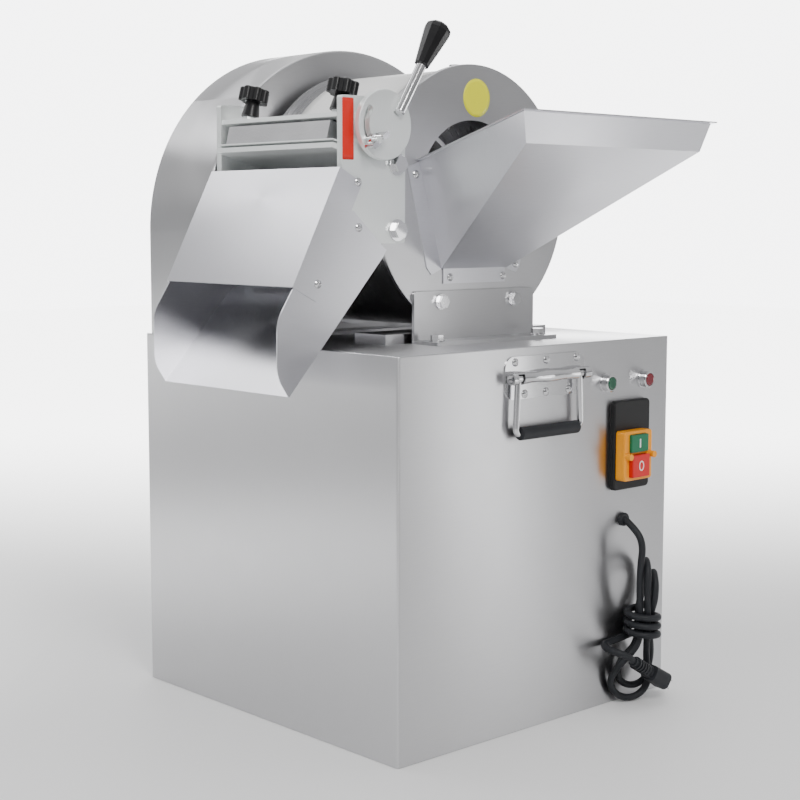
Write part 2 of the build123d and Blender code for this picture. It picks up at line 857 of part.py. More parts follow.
def side_plate(rear_y):
    """Thick plate with the bores of the two rotors and of the thickness shaft."""
    with BuildPart() as plate:
        with BuildSketch(section(rear_y)):
            with BuildLine():
                Polyline(*side_plate_outline, close=True)
            make_face()
            with Locations((gauge_x, gauge_height)):
                Circle(gauge_shaft_radius + running_clearance, mode=Mode.SUBTRACT)
        extrude(amount=side_plate_thickness)
        upright = plate.edges().filter_by(Axis.Y).filter_by(
            lambda e: e.length > side_plate_thickness - 0.1
        )
        fillet(upright, 3)
    return plate


with BuildPart() as near_side_plate:
    add(side_plate(near_inner).part)
    with BuildSketch(section(near_inner)):
        with Locations(gear_axis_a, gear_axis_b):
            Circle(bush_radius)
    extrude(amount=blind_bore_depth, mode=Mode.SUBTRACT)
    stud_place = polar((gauge_x, gauge_height), slot_radius, stud_angle)
    with BuildSketch(section(near_outer)):
        with Locations(stud_place):
            Circle(stud_radius)
    extrude(amount=28)
near_side_plate.part.label = "near_side_plate"
export_step(near_side_plate.part, "parts/near_side_plate.step")

with BuildPart() as far_side_plate:
    add(side_plate(far_outer).part)
    with BuildSketch(section(far_outer)):
        with Locations(gear_axis_a, gear_axis_b):
            Circle(bush_radius)
    extrude(amount=side_plate_thickness, mode=Mode.SUBTRACT)
far_side_plate.part.label = "far_side_plate"
export_step(far_side_plate.part, "parts/far_side_plate.step")

# Large hexagon flange bolts of the side plates
side_bolt_places = [(-137, 594.7), (-137, 670.5)]
side_washer_radius = 12.5
side_head_radius = 9.8
with BuildPart() as side_plate_bolts:
    for face_y, side, head_height in ((near_outer, 1, 7), (far_outer, -1, 1.7)):
        with BuildSketch(section(face_y)):
            with Locations(*side_bolt_places):
                Circle(side_washer_radius)
        extrude(amount=side * 2)
        with BuildSketch(section(face_y - side * 2)):
            with Locations(*side_bolt_places):
                RegularPolygon(side_head_radius, 6)
        extrude(amount=side * head_height)
side_plate_bolts.part.label = "side_plate_bolts"
export_step(side_plate_bolts.part, "parts/side_plate_bolts.step")

# Knife gate: lower bar and ledge between the side plates
gate_length = far_inner - near_inner
bar_top = bar_bottom + bar_thickness
ledge_top = bar_top + ledge_gap + ledge_thickness
ledge_outer = bar_outer + ledge_overhang
with BuildPart() as gate_bars:
    with BuildSketch(gate_plane(near_inner)):
        with Locations(((bar_inner + ledge_outer) / 2, ledge_top - ledge_thickness / 2)):
            Rectangle(ledge_outer - bar_inner, ledge_thickness)
        with Locations(((bar_inner + bar_outer) / 2, bar_bottom + bar_thickness / 2)):
            Rectangle(bar_outer - bar_inner, bar_thickness)
    extrude(amount=gate_length)
gate_bars.part.label = "gate_bars"
export_step(gate_bars.part, "parts/gate_bars.step")

# Gauge block that slides along r on the ledge, with two pockets for the cams
block_bottom = ledge_top + seat_gap
block_top = block_bottom + block_height
gauge_r = -gauge_x * cos(radians(gate_tilt)) + (gauge_height - drum_axis_height) * sin(radians(gate_tilt))
gauge_t = gauge_x * sin(radians(gate_tilt)) + (gauge_height - drum_axis_height) * cos(radians(gate_tilt))
cam_throw = block_travel / (2 * sin(radians(gauge_swing / 2)))
cam_center = polar((gauge_x, gauge_height), cam_throw, 270 - gate_tilt - gauge_swing / 2)
pocket_r = gauge_r + block_travel / 2
pocket_bottom = gauge_t - cam_throw - cam_radius - 1
cam_places = (near_inner + cam_inset, far_inner - cam_inset)
with BuildPart() as gauge_block:
    with BuildSketch(gate_plane(near_inner + block_near_end)):
        with Locations((bar_outer - block_length / 2, (block_bottom + block_top) / 2)):
            Rectangle(block_length, block_height)
    extrude(amount=gate_length - block_near_end - block_far_end)
    for cam_y in cam_places:
        with BuildSketch(gate_plane(cam_y - cam_width / 2 - 1)):
            with Locations((pocket_r, (pocket_bottom + block_top) / 2)):
                Rectangle(2 * (cam_radius + cam_clearance), block_top - pocket_bottom)
        extrude(amount=cam_width + 2, mode=Mode.SUBTRACT)
gauge_block.part.label = "gauge_block"
export_step(gauge_block.part, "parts/gauge_block.step")

# Fixed blade on a wedge between the drum's plates
blade_end = polar(blade_edge, blade_length, blade_angle)
blade_side = polar((0, 0), blade_thickness, blade_angle + 90)
blade_seat_start = polar(blade_edge, seat_start, blade_angle)
with BuildPart() as slicing_blade:
    with BuildSketch(gate_plane(shell_front)):
        with BuildLine():
            bevel = polar(blade_edge, 3 * blade_thickness, blade_angle)
            Polyline(
                blade_edge,
                (bevel[0] + blade_side[0], bevel[1] + blade_side[1]),
                (blade_end[0] + blade_side[0], blade_end[1] + blade_side[1]),
                blade_end,
                close=True,
            )
        make_face()
    extrude(amount=drum_length)
slicing_blade.part.label = "slicing_blade"
export_step(slicing_blade.part, "parts/slicing_blade.step")

with BuildPart() as blade_seat:
    with BuildSketch(gate_plane(shell_front)):
        with BuildLine():
            Polyline(blade_seat_start, blade_end, seat_back, close=True)
        make_face()
    extrude(amount=drum_length)
blade_seat.part.label = "blade_seat"
export_step(blade_seat.part, "parts/blade_seat.step")

# Clamp bar across the gate with the two nuts of the star knobs
knob_places = (near_inner + knob_near_end, far_inner - knob_far_end)
clamp_bottom = block_top + clamp_gap
clamp_top = clamp_bottom + clamp_thickness
with BuildPart() as clamp_bar:
    with BuildSketch(gate_plane(near_inner)):
        with Locations((bar_outer + clamp_overhang - clamp_width / 2, (clamp_bottom + clamp_top) / 2)):
            Rectangle(clamp_width, clamp_thickness)
    extrude(amount=gate_length)
    for knob_y in knob_places:
        with BuildSketch(gate_stack_plane(clamp_top, knob_y)):
            RegularPolygon(8, 6)
        extrude(amount=lock_nut_height)
        with BuildSketch(gate_stack_plane(clamp_bottom, knob_y)):
            Circle(stud_radius + running_clearance)
        extrude(amount=clamp_thickness + lock_nut_height, mode=Mode.SUBTRACT)
clamp_bar.part.label = "clamp_bar"
export_step(clamp_bar.part, "parts/clamp_bar.step")

knob_hub_bottom = clamp_top + lock_nut_height + seat_gap
knob_head_bottom = knob_hub_bottom + knob_hub_height
gate_up = Axis((0, 0, 0), (sin(radians(gate_tilt)), 0, cos(radians(gate_tilt))))


def star_knob(knob_y):
    """Lobed clamping knob moulded on a stud that ends just above the gauge block."""
    with BuildPart() as knob:
        with BuildSketch(gate_stack_plane(block_top + seat_gap, knob_y)):
            Circle(stud_radius)
        extrude(amount=knob_hub_bottom - block_top)
        with BuildSketch(gate_stack_plane(knob_hub_bottom, knob_y)):
            Circle(knob_hub_radius)
        with BuildSketch(gate_stack_plane(knob_head_bottom, knob_y)):
            Circle(knob_neck_radius)
        loft()
        with BuildSketch(gate_stack_plane(knob_head_bottom, knob_y)):
            Circle(knob_radius - 3)
            with PolarLocations(knob_radius - 5, knob_lobes):
                Circle(5)
        extrude(amount=knob_head_height)
        chamfer(knob.faces().sort_by(gate_up)[-1].edges(), 1.2)
    return knob


front_star_knob = star_knob(knob_places[0])
front_star_knob.part.label = "front_star_knob"
export_step(front_star_knob.part, "parts/front_star_knob.step")

rear_star_knob = star_knob(knob_places[1])
rear_star_knob.part.label = "rear_star_knob"
export_step(rear_star_knob.part, "parts/rear_star_knob.step")

# Rotor of round knives, which cuts slices into strips
rotor_front = near_inner - blind_bore_depth + 1
with BuildPart() as disc_rotor:
    with BuildSketch(section(gear_rear)):
        with Locations(gear_axis_a):
            Circle(rotor_shaft_radius)
    extrude(amount=gear_rear - rotor_front)
    spacer_rear = far_inner - rotor_end_gap
    spacer_length = gate_length - 2 * rotor_end_gap
    with BuildSketch(section(spacer_rear)):
        with Locations(gear_axis_a):
            Circle(disc_spacer_radius)
    extrude(amount=spacer_length)
    disc_count = int((spacer_length - 2) // disc_knife_pitch) + 1
    disc_span = (disc_count - 1) * disc_knife_pitch
    first_disc = spacer_rear - (spacer_length - disc_span) / 2 + disc_knife_thickness / 2
    for index in range(disc_count):
        with BuildSketch(section(first_disc - index * disc_knife_pitch)):
            with Locations(gear_axis_a):
                Circle(disc_knife_radius)
        extrude(amount=disc_knife_thickness)
disc_rotor.part.label = "disc_rotor"
export_step(disc_rotor.part, "parts/disc_rotor.step")

# Rotor of straight blades, which cuts strips into cubes
with BuildPart() as crosscut_rotor:
    with BuildSketch(section(gear_rear)):
        with Locations(gear_axis_b):
            Circle(rotor_shaft_radius)
    extrude(amount=gear_rear - rotor_front)
    with BuildSketch(section(spacer_rear)):
        with Locations(gear_axis_b):
            Circle(crosscut_core_radius)
            for index in range(crosscut_blade_count):
                angle = 360 / crosscut_blade_count * index
                with Locations(Location((*polar((0, 0), crosscut_blade_radius / 2, angle), 0), angle)):
                    Rectangle(crosscut_blade_radius, crosscut_blade_thickness)
    extrude(amount=spacer_length)
crosscut_rotor.part.label = "crosscut_rotor"
export_step(crosscut_rotor.part, "parts/crosscut_rotor.step")

# Comb whose fingers clean the gaps between the round knives
comb_root = (-155, 578)
comb_angle = degrees(atan2(gear_axis_a[1] - comb_root[1], gear_axis_a[0] - comb_root[0]))
comb_reach = hypot(gear_axis_a[1] - comb_root[1], gear_axis_a[0] - comb_root[0])
with BuildPart() as comb_plate:
    comb_direction = Vector(cos(radians(comb_angle)), 0, sin(radians(comb_angle)))
    comb_face = Plane(
        origin=(comb_root[0], near_inner, comb_root[1]), x_dir=(0, 1, 0), z_dir=comb_direction
    )
    with BuildSketch(comb_face):
        with Locations((gate_length / 2, 0)):
            Rectangle(gate_length, 2)
    extrude(amount=comb_reach - disc_knife_radius - 2)
    finger_width = disc_knife_pitch - disc_knife_thickness - 2.4
    with BuildSketch(comb_face):
        for index in range(disc_count - 1):
            finger_y = first_disc - disc_knife_thickness / 2 - (index + 0.5) * disc_knife_pitch
            with Locations((finger_y - near_inner, 0)):
                Rectangle(finger_width, 2)
    extrude(amount=comb_reach - disc_spacer_radius - 1)
comb_plate.part.label = "comb_plate"
export_step(comb_plate.part, "parts/comb_plate.step")

# Thickness shaft with its cams, slotted quadrant, lever, grip and wing nut
quadrant_rear = near_outer - quadrant_gap
quadrant_front = quadrant_rear - quadrant_thickness
with BuildPart() as gauge_shaft:
    with BuildSketch(section(far_outer + 2)):
        with Locations((gauge_x, gauge_height)):
            Circle(gauge_shaft_radius)
    extrude(amount=far_outer + 2 - quadrant_rear)
    with BuildSketch(section(near_outer - seat_gap)):
        with Locations((gauge_x, gauge_height)):
            Circle(14)
    extrude(amount=quadrant_gap - seat_gap)
    for cam_y in cam_places:
        with BuildSketch(section(cam_y + cam_width / 2)):
            with Locations(cam_center):
                Circle(cam_radius)
        extrude(amount=cam_width)
gauge_shaft.part.label = "gauge_shaft"
export_step(gauge_shaft.part, "parts/gauge_shaft.step")

slot_start = stud_angle - gauge_swing
with BuildPart() as quadrant_disc:
    with BuildSketch(section(quadrant_rear)):
        with Locations((gauge_x, gauge_height)):
            Circle(quadrant_radius)
        with BuildLine():
            arc_slot((gauge_x, gauge_height), slot_radius, slot_half_width, slot_start, stud_angle)
        make_face(mode=Mode.SUBTRACT)
    extrude(amount=quadrant_thickness)
    chamfer(quadrant_disc.edges().filter_by(GeomType.CIRCLE).sort_by(SortBy.RADIUS)[-2:], 0.8)
    lever_line = Axis(
        (
            gauge_x + lever_offset * sin(radians(lever_angle)),
            quadrant_front - lever_radius + lever_sink,
            gauge_height - lever_offset * cos(radians(lever_angle)),
        ),
        (cos(radians(lever_angle)), 0, sin(radians(lever_angle))),
    )
    lever_plane = Plane(origin=lever_line.position, x_dir=(0, 1, 0), z_dir=lever_line.direction)
    with BuildSketch(lever_plane.offset(lever_start)):
        Circle(lever_radius)
    extrude(amount=quadrant_radius, mode=Mode.SUBTRACT)
quadrant_disc.part.label = "quadrant_disc"
export_step(quadrant_disc.part, "parts/quadrant_disc.step")

with BuildPart() as lever_rod:
    with BuildSketch(lever_plane.offset(lever_start)):
        Circle(lever_radius)
    extrude(amount=lever_end - lever_start)
    fillet(lever_rod.edges().filter_by(GeomType.CIRCLE).sort_by(Axis.Z)[0], lever_radius / 2)
lever_rod.part.label = "lever_rod"
export_step(lever_rod.part, "parts/lever_rod.step")

with BuildPart() as lever_grip:
    for height, radius in grip_sections:
        with BuildSketch(lever_plane.offset(lever_end - grip_socket + height)):
            RegularPolygon(radius, grip_sides)
    loft(ruled=True)
    with BuildSketch(lever_plane.offset(lever_end - grip_socket)):
        Circle(lever_radius)
    extrude(amount=grip_socket, mode=Mode.SUBTRACT)
lever_grip.part.label = "lever_grip"
export_step(lever_grip.part, "parts/lever_grip.step")

with BuildPart() as wing_nut:
    nut_rear = quadrant_front - seat_gap
    with BuildSketch(section(nut_rear)):
        with Locations(stud_place):
            Circle(wing_nut_radius)
    extrude(amount=wing_nut_height)
    wing_angle = 35
    with BuildSketch(section(nut_rear - 3)):
        for side in (-1, 1):
            wing_middle = polar(stud_place, side * (wing_span + 5) / 2, wing_angle)
            with Locations(Location((*wing_middle, 0), wing_angle)):
                SlotOverall(wing_span - 3, 6)
    extrude(amount=14)
    with BuildSketch(section(nut_rear)):
        with Locations(stud_place):
            Circle(stud_radius + running_clearance)
    extrude(amount=30, mode=Mode.SUBTRACT)
wing_nut.part.label = "wing_nut"
export_step(wing_nut.part, "parts/wing_nut.step")

# Chute: floor and two walls outside the side plates
chute_wall_outline = [
    (-204.8, 617),
    (-154.7, 572),
    (-160, 564),
    (-300, 411.3),
    (-316.3, 435.8),
    (-315.7, 496.8),
    (-292, 533),
    (-248.4, 617),
]
with BuildPart() as chute:
    for rear_y in (near_outer, far_outer + chute_sheet):
        with BuildSketch(section(rear_y)) as chute_wall:
            with BuildLine():
                Polyline(*chute_wall_outline, close=True)
            make_face()
            fillet(chute_wall.vertices().sort_by(Axis.X)[:2], chute_lip_radius)
        extrude(amount=chute_sheet)
    with BuildSketch(section(far_outer)):
        with BuildLine():
            Polyline(
                (-152.5, 572.2),
                (-300, 411.3),
                (-300 - 1.11, 412.3),
                (-153.6, 573.2),
                close=True,
            )
        make_face()
    extrude(amount=far_outer - near_outer)
    with BuildSketch(section(far_outer + chute_sheet)):
        with Locations(gear_axis_b):
            Circle(rotor_shaft_radius + 3)
    extrude(amount=chute_sheet, mode=Mode.SUBTRACT)
chute.part.label = "chute"
export_step(chute.part, "parts/chute.step")

# Hood over the rotors, its flanges outside the chute's walls
hood_slope = atan2(hood_bottom[1] - hood_top[1], hood_bottom[0] - hood_top[0])
hood_normal = (sin(hood_slope), -cos(hood_slope))
hood_inward = (-hood_flange * hood_normal[0], -hood_flange * hood_normal[1])
hood_skin = (chute_sheet * hood_normal[0], chute_sheet * hood_normal[1])
hood_near = near_outer - chute_sheet
hood_far = far_outer + chute_sheet
with BuildPart() as hood:
    with BuildSketch(section(hood_far)):
        with BuildLine():
            Polyline(
                hood_top,
                hood_bottom,
                (hood_bottom[0] - hood_skin[0], hood_bottom[1] - hood_skin[1]),
                (hood_top[0] - hood_skin[0], hood_top[1] - hood_skin[1]),
                close=True,
            )
        make_face()
    extrude(amount=hood_far - hood_near)
    for rear_y in (hood_near, hood_far + chute_sheet):
        with BuildSketch(section(rear_y)):
            with BuildLine():
                Polyline(
                    hood_top,
                    hood_bottom,
                    (hood_bottom[0] + hood_inward[0], hood_bottom[1] + hood_inward[1]),
                    (hood_top[0] + hood_inward[0], hood_top[1] + hood_inward[1]),
                    close=True,
                )
            make_face()
        extrude(amount=chute_sheet)
hood.part.label = "hood"
export_step(hood.part, "parts/hood.step")

# Hopper: folded trough with a rim flange and three flanges against the drum's front plate
hopper_back = drum_front
hopper_lip_y = hopper_back - hopper_depth + hopper_rim_lean
hopper_rim_y = hopper_back - hopper_depth
corner_low = Vector(hopper_bottom_half, hopper_back, hopper_bottom_height)
corner_top = Vector(hopper_top_half, hopper_back, hopper_top_height)
corner_lip = Vector(hopper_lip_half, hopper_lip_y, hopper_lip_height)
corner_rim = Vector(hopper_rim_half, hopper_rim_y, hopper_rim_height)


def facing_plane(a, b, c, inset):
    """Plane through three points, its normal out of the hopper, moved inwards by an inset."""
    normal = (b - a).cross(c - a).normalized()
    if normal.dot(Vector(0, -200, 640) - a) > 0:
        normal = -normal
    return Plane(origin=a - normal * inset, z_dir=normal)


def mirrored(point):
    """The same corner on the other side of the hopper."""
    return Vector(-point.X, point.Y, point.Z)


def hopper_form(inset, top_rise):
    """Solid inside the hopper's folded faces."""
    with BuildPart() as form:
        with BuildSketch(section(hopper_back)):
            with Locations((0, 630)):
                Rectangle(420, 300)
        extrude(amount=300)
        right = facing_plane(corner_low, corner_top, corner_lip, inset)
        left = facing_plane(mirrored(corner_low), mirrored(corner_top), mirrored(corner_lip), inset)
        bottom = facing_plane(corner_low, mirrored(corner_low), corner_lip, inset)
        front = facing_plane(corner_lip, mirrored(corner_lip), corner_rim, inset)
        top = facing_plane(corner_top, mirrored(corner_top), corner_rim, -top_rise)
        for face in (right, left, bottom, front, top):
            split(bisect_by=face, keep=Keep.BOTTOM)
    return form.part


with BuildPart() as hopper:
    add(hopper_form(0, 0))
    add(hopper_form(hopper_sheet, 20), mode=Mode.SUBTRACT)
    rim_slope = Plane(
        origin=(0, hopper_back, hopper_top_height),
        x_dir=(1, 0, 0),
        z_dir=Vector(0, hopper_rim_height - hopper_top_height, hopper_back - hopper_rim_y),
    )
    rim_run = hypot(hopper_rim_height - hopper_top_height, hopper_back - hopper_rim_y)
    with BuildSketch(rim_slope):
        with BuildLine():
            Polyline(
                (-hopper_top_half - rim_flange, 0),
                (-hopper_rim_half - rim_flange, -rim_run - rim_flange),
                (hopper_rim_half + rim_flange, -rim_run - rim_flange),
                (hopper_top_half + rim_flange, 0),
                close=True,
            )
        make_face()
        with BuildLine():
            Polyline(
                (-hopper_top_half + 1.6, 0),
                (-hopper_rim_half + 2.2, -rim_run + 1.6),
                (hopper_rim_half - 2.2, -rim_run + 1.6),
                (hopper_top_half - 1.6, 0),
                close=True,
            )
        make_face(mode=Mode.SUBTRACT)
    extrude(amount=-hopper_sheet)
    with BuildSketch(section(hopper_back)):
        with BuildLine():
            Polyline(
                (-hopper_bottom_half + 3, hopper_bottom_height + 2),
                (-hopper_bottom_half + 3, hopper_bottom_height - hopper_flange + 2),
                (hopper_bottom_half - 3, hopper_bottom_height - hopper_flange + 2),
                (hopper_bottom_half - 3, hopper_bottom_height + 2),
                close=True,
            )
        make_face()
        for side in (-1, 1):
            with BuildLine():
                Polyline(
                    (side * hopper_top_half, hopper_top_height - 2),
                    (side * (hopper_top_half + hopper_flange), hopper_top_height - 8),
                    (side * (hopper_bottom_half + hopper_flange + 5), hopper_bottom_height + 2),
                    (side * (hopper_bottom_half + hopper_flange - 2), hopper_bottom_height - 6),
                    (side * hopper_bottom_half, hopper_bottom_height + 1),
                    (side * (hopper_top_half - 3), hopper_top_height - 2),
                    close=True,
                )
            make_face()
    extrude(amount=hopper_sheet)
hopper.part.label = "hopper"
export_step(hopper.part, "parts/hopper.step")

# Domed screws of the hopper, the hood and the chute
screw_places = [
    (hopper_back - hopper_sheet, [(-99.5, 660), (99.5, 660), (-42, 538), (50, 538), (73, 552)]),
    (hood_near - chute_sheet, [(-199.3, 649.2), (-259, 535.6)]),
    (near_outer - chute_sheet, [(-197, 598)]),
    (
        front_face - handle_plate_sheet,
        [(-52.5, 443), (1, 443), (55, 443), (-36, 405.2), (1, 405.2), (41.5, 405.2)],
    ),
]
with BuildPart() as sheet_screws:
    for face_y, places in screw_places:
        with BuildSketch(section(face_y)):
            with Locations(*places):
                Circle(5)
        extrude(amount=2.6)
sheet_screws.part.label = "sheet_screws"
export_step(sheet_screws.part, "parts/sheet_screws.step")

# Start and stop switch
with BuildPart() as switch_plate:
    with BuildSketch(section(front_face)):
        with Locations((switch_x, switch_height)):
            RectangleRounded(switch_plate_width, switch_plate_height, 6)
    extrude(amount=switch_plate_depth)
    fillet(switch_plate.faces().sort_by(Axis.Y)[0].edges(), 2)
switch_plate.part.label = "switch_plate"
export_step(switch_plate.part, "parts/switch_plate.step")

switch_back = front_face - switch_plate_depth
housing_front = switch_back - switch_housing_depth
start_place = (housing_x - 1, housing_height_center + 15.5)
stop_place = (housing_x - 1, housing_height_center - 12.5)
start_size = (33, 22)
stop_size = (33, 28)
with BuildPart() as switch_housing:
    with BuildSketch(section(switch_back)):
        with Locations((housing_x, housing_height_center)):
            RectangleRounded(switch_housing_width, switch_housing_height, 4)
    extrude(amount=switch_housing_depth)
    fillet(switch_housing.faces().sort_by(Axis.Y)[0].edges(), 2)
    with BuildSketch(section(switch_back)):
        with Locations(start_place):
            RectangleRounded(start_size[0] + 1, start_size[1] + 1, 2)
        with Locations(stop_place):
            RectangleRounded(stop_size[0] + 1, stop_size[1] + 1, 2)
    extrude(amount=switch_housing_depth, mode=Mode.SUBTRACT)
    with BuildSketch(section(housing_front + 0.5)):
        with Locations((housing_x - 22.5, housing_height_center), (housing_x + 23, housing_height_center)):
            Circle(4)
    extrude(amount=8)
switch_housing.part.label = "switch_housing"
export_step(switch_housing.part, "parts/switch_housing.step")


def push_button(place, size, reach):
    """Rectangular button with rounded corners that slides into the housing."""
    with BuildPart() as button:
        with BuildSketch(section(switch_back - button_travel - seat_gap)):
            with Locations(place):
                RectangleRounded(*size, 1.5)
        extrude(amount=switch_housing_depth - button_travel - seat_gap + reach)
        fillet(button.faces().sort_by(Axis.Y)[0].edges(), 1)
    return button


start_button = push_button(start_place, start_size, 3.5)
start_button.part.label = "start_button"
export_step(start_button.part, "parts/start_button.step")

stop_button = push_button(stop_place, stop_size, 6)
stop_button.part.label = "stop_button"
export_step(stop_button.part, "parts/stop_button.step")

# Indicator lamps
lamp_places = [(lamp_x, lamp_height), (lamp_x + lamp_spacing, lamp_height)]
with BuildPart() as lamp_bezels:
    with BuildSketch(section(front_face)):
        with Locations(*lamp_places):
            Circle(lamp_radius)
            Circle(lens_radius, mode=Mode.SUBTRACT)
    extrude(amount=lamp_flange)
    with BuildSketch(section(front_face - lamp_flange)):
        with Locations(*lamp_places):
            Circle(lamp_radius - 1)
            Circle(lens_radius, mode=Mode.SUBTRACT)
    extrude(amount=lamp_reach - lamp_flange - 1)
    bezel_rims = lamp_bezels.edges().filter_by(GeomType.CIRCLE).group_by(Axis.Y)[0]
    chamfer(bezel_rims.group_by(SortBy.RADIUS)[-1], 0.8)
lamp_bezels.part.label = "lamp_bezels"
export_step(lamp_bezels.part, "parts/lamp_bezels.step")


def lamp_lens(place):
    """Domed lens that fills a bezel."""
    with BuildPart() as lens:
        with BuildSketch(section(front_face)):
            with Locations(place):
                Circle(lens_radius)
        extrude(amount=lamp_reach)
        fillet(lens.faces().sort_by(Axis.Y)[0].edges(), 2.5)
    return lens


green_lens = lamp_lens(lamp_places[0])
green_lens.part.label = "green_lens"
export_step(green_lens.part, "parts/green_lens.step")

red_lens = lamp_lens(lamp_places[1])
red_lens.part.label = "red_lens"
export_step(red_lens.part, "parts/red_lens.step")


# Carrying handles on the front and rear walls: plates with a crimped barrel, hanging bails, grips
pin_drop = handle_plate_sheet + handle_barrel_radius
barrel_half = handle_barrel_length / 2
bail_slot = bail_radius + 1 + bail_slot_gap
crimped_radius = handle_barrel_radius - handle_barrel_dent
barrel_profile = [
    (-barrel_half, handle_barrel_radius - 0.5),
    (-2 * handle_dent_place + 4, handle_barrel_radius),
    (-handle_dent_place, crimped_radius),
    (0, handle_barrel_radius),
    (handle_dent_place, crimped_radius),
    (2 * handle_dent_place - 4, handle_barrel_radius),
    (barrel_half, handle_barrel_radius - 0.5),
]
with BuildPart() as handle_plates:
    for face_y, side in ((front_face, 1), (rear_face, -1)):
        plate_front = face_y - side * handle_plate_sheet
        pin_y = face_y - side * pin_drop
        with BuildSketch(section(face_y)):
            with Locations((handle_x, handle_height)):
                RectangleRounded(handle_plate_width, handle_plate_height, handle_plate_corner)
        extrude(amount=side * handle_plate_sheet)
        with BuildSketch(section(plate_front)):
            with Locations((handle_x, bail_height + handle_barrel_radius - 3)):
                Rectangle(handle_barrel_length, 3)
        extrude(amount=side * handle_barrel_radius)
        with BuildSketch(Plane(origin=(handle_x, pin_y, bail_height), x_dir=(1, 0, 0), z_dir=(0, -1, 0))):
            with BuildLine():
                Spline(*barrel_profile)
                Polyline(barrel_profile[-1], (barrel_half, 0), (-barrel_half, 0), barrel_profile[0])
            make_face()
        revolve(axis=Axis((handle_x, pin_y, bail_height), (1, 0, 0)))
        slot_middle = (handle_barrel_radius + 1 - bail_slot) / 2
        slot_size = handle_barrel_radius + 1 + bail_slot
        with Locations((bail_x, pin_y - side * slot_middle, bail_height - slot_middle)):
            with GridLocations(2 * bail_top_half, 0, 2, 1):
                Box(2 * bail_slot, slot_size, slot_size, mode=Mode.SUBTRACT)
        with BuildSketch(Plane.YZ.offset(handle_x - barrel_half)):
            with Locations((pin_y, bail_height)):
                Circle(pin_radius + running_clearance)
        extrude(amount=handle_barrel_length, mode=Mode.SUBTRACT)
        for end_x, direction in ((handle_x - barrel_half, 1), (handle_x + barrel_half, -1)):
            with BuildSketch(Plane.YZ.offset(end_x)):
                with Locations((pin_y, bail_height)):
                    Circle(crimped_radius - 1)
            extrude(amount=direction * 4, mode=Mode.SUBTRACT)
handle_plates.part.label = "handle_plates"
export_step(handle_plates.part, "parts/handle_plates.step")


def bail_form(face_y, side):
    """Round bar bent to a U, hanging from two pins."""
    pin_y = face_y - side * pin_drop
    with BuildPart() as bail:
        with BuildLine() as path:
            FilletPolyline(
                (bail_x - bail_top_half, pin_y, bail_height),
                (bail_x - bail_low_half, pin_y, bail_height - bail_drop),
                (bail_x + bail_low_half, pin_y, bail_height - bail_drop),
                (bail_x + bail_top_half, pin_y, bail_height),
                radius=bail_bend,
            )
        start = path.wires()[0]
        with BuildSketch(Plane(origin=start @ 0, z_dir=start % 0)):
            Circle(bail_radius)
        sweep()
        for direction in (1, -1):
            end_x = bail_x - direction * bail_top_half
            with BuildSketch(Plane.YZ.offset(end_x - direction * bail_radius)):
                with Locations((pin_y, bail_height)):
                    Circle(bail_radius + 1)
            extrude(amount=direction * (2 * bail_radius))
            with BuildSketch(Plane.YZ.offset(end_x)):
                with Locations((pin_y, bail_height)):
                    Circle(pin_radius)
            extrude(amount=direction * bail_pin_length)
    return bail


def grip_form(face_y, side):
    """Sleeve on the straight of a bail."""
    length = 2 * (bail_low_half - bail_bend)
    with BuildPart() as sleeve:
        with BuildSketch(Plane.YZ.offset(bail_x - length / 2)):
            with Locations((face_y - side * pin_drop, bail_height - bail_drop)):
                Circle(grip_radius)
                Circle(bail_radius, mode=Mode.SUBTRACT)
        extrude(amount=length)
        fillet(sleeve.edges().filter_by(GeomType.CIRCLE).group_by(SortBy.RADIUS)[-1], 1.5)
    return sleeve


front_bail = bail_form(front_face, 1)
front_bail.part.label = "front_bail"
export_step(front_bail.part, "parts/front_bail.step")

front_grip = grip_form(front_face, 1)
front_grip.part.label = "front_grip"
export_step(front_grip.part, "parts/front_grip.step")

rear_bail = bail_form(rear_face, -1)
rear_bail.part.label = "rear_bail"
export_step(rear_bail.part, "parts/rear_bail.step")

rear_grip = grip_form(rear_face, -1)
rear_grip.part.label = "rear_grip"
export_step(rear_grip.part, "parts/rear_grip.step")

# Cable grommet in the front wall
with BuildPart() as cable_grommet:
    with BuildSketch(section(front_face + cabinet_sheet + 3)):
        with Locations((cable_x, cable_height)):
            Circle(grommet_radius - 2)
    extrude(amount=cabinet_sheet + 3)
    with BuildSketch(section(front_face)):
        with Locations((cable_x, cable_height)):
            Circle(grommet_radius)
    extrude(amount=grommet_reach)
    fillet(cable_grommet.faces().sort_by(Axis.Y)[0].edges(), 2)
cable_grommet.part.label = "cable_grommet"
export_step(cable_grommet.part, "parts/cable_grommet.step")

# Mains cord: it leaves the grommet, drops in front of the wall and goes into a tied hank
cord_points = [
    (cable_x, front_face - 3.5, cable_height + 1),
    (cable_x + 1, front_face - 23.5, cable_height - 10),
    (cable_x + 3, front_face - 32.5, cable_height - 31),
    (cable_x + 5, front_face - 31, cable_height - 55),
    (cable_x + 6, front_face - 27.5, cable_height - 85),
]


def corner_radii(points):
    """Largest tangent radius that each corner's two runs allow."""
    radii = []
    for before, here, after in zip(points, points[1:], points[2:]):
        run_in = Vector(*here) - Vector(*before)
        run_out = Vector(*after) - Vector(*here)
        turn = radians(run_in.get_angle(run_out))
        radii.append(0.45 * min(run_in.length, run_out.length) / tan(turn / 2))
    return radii


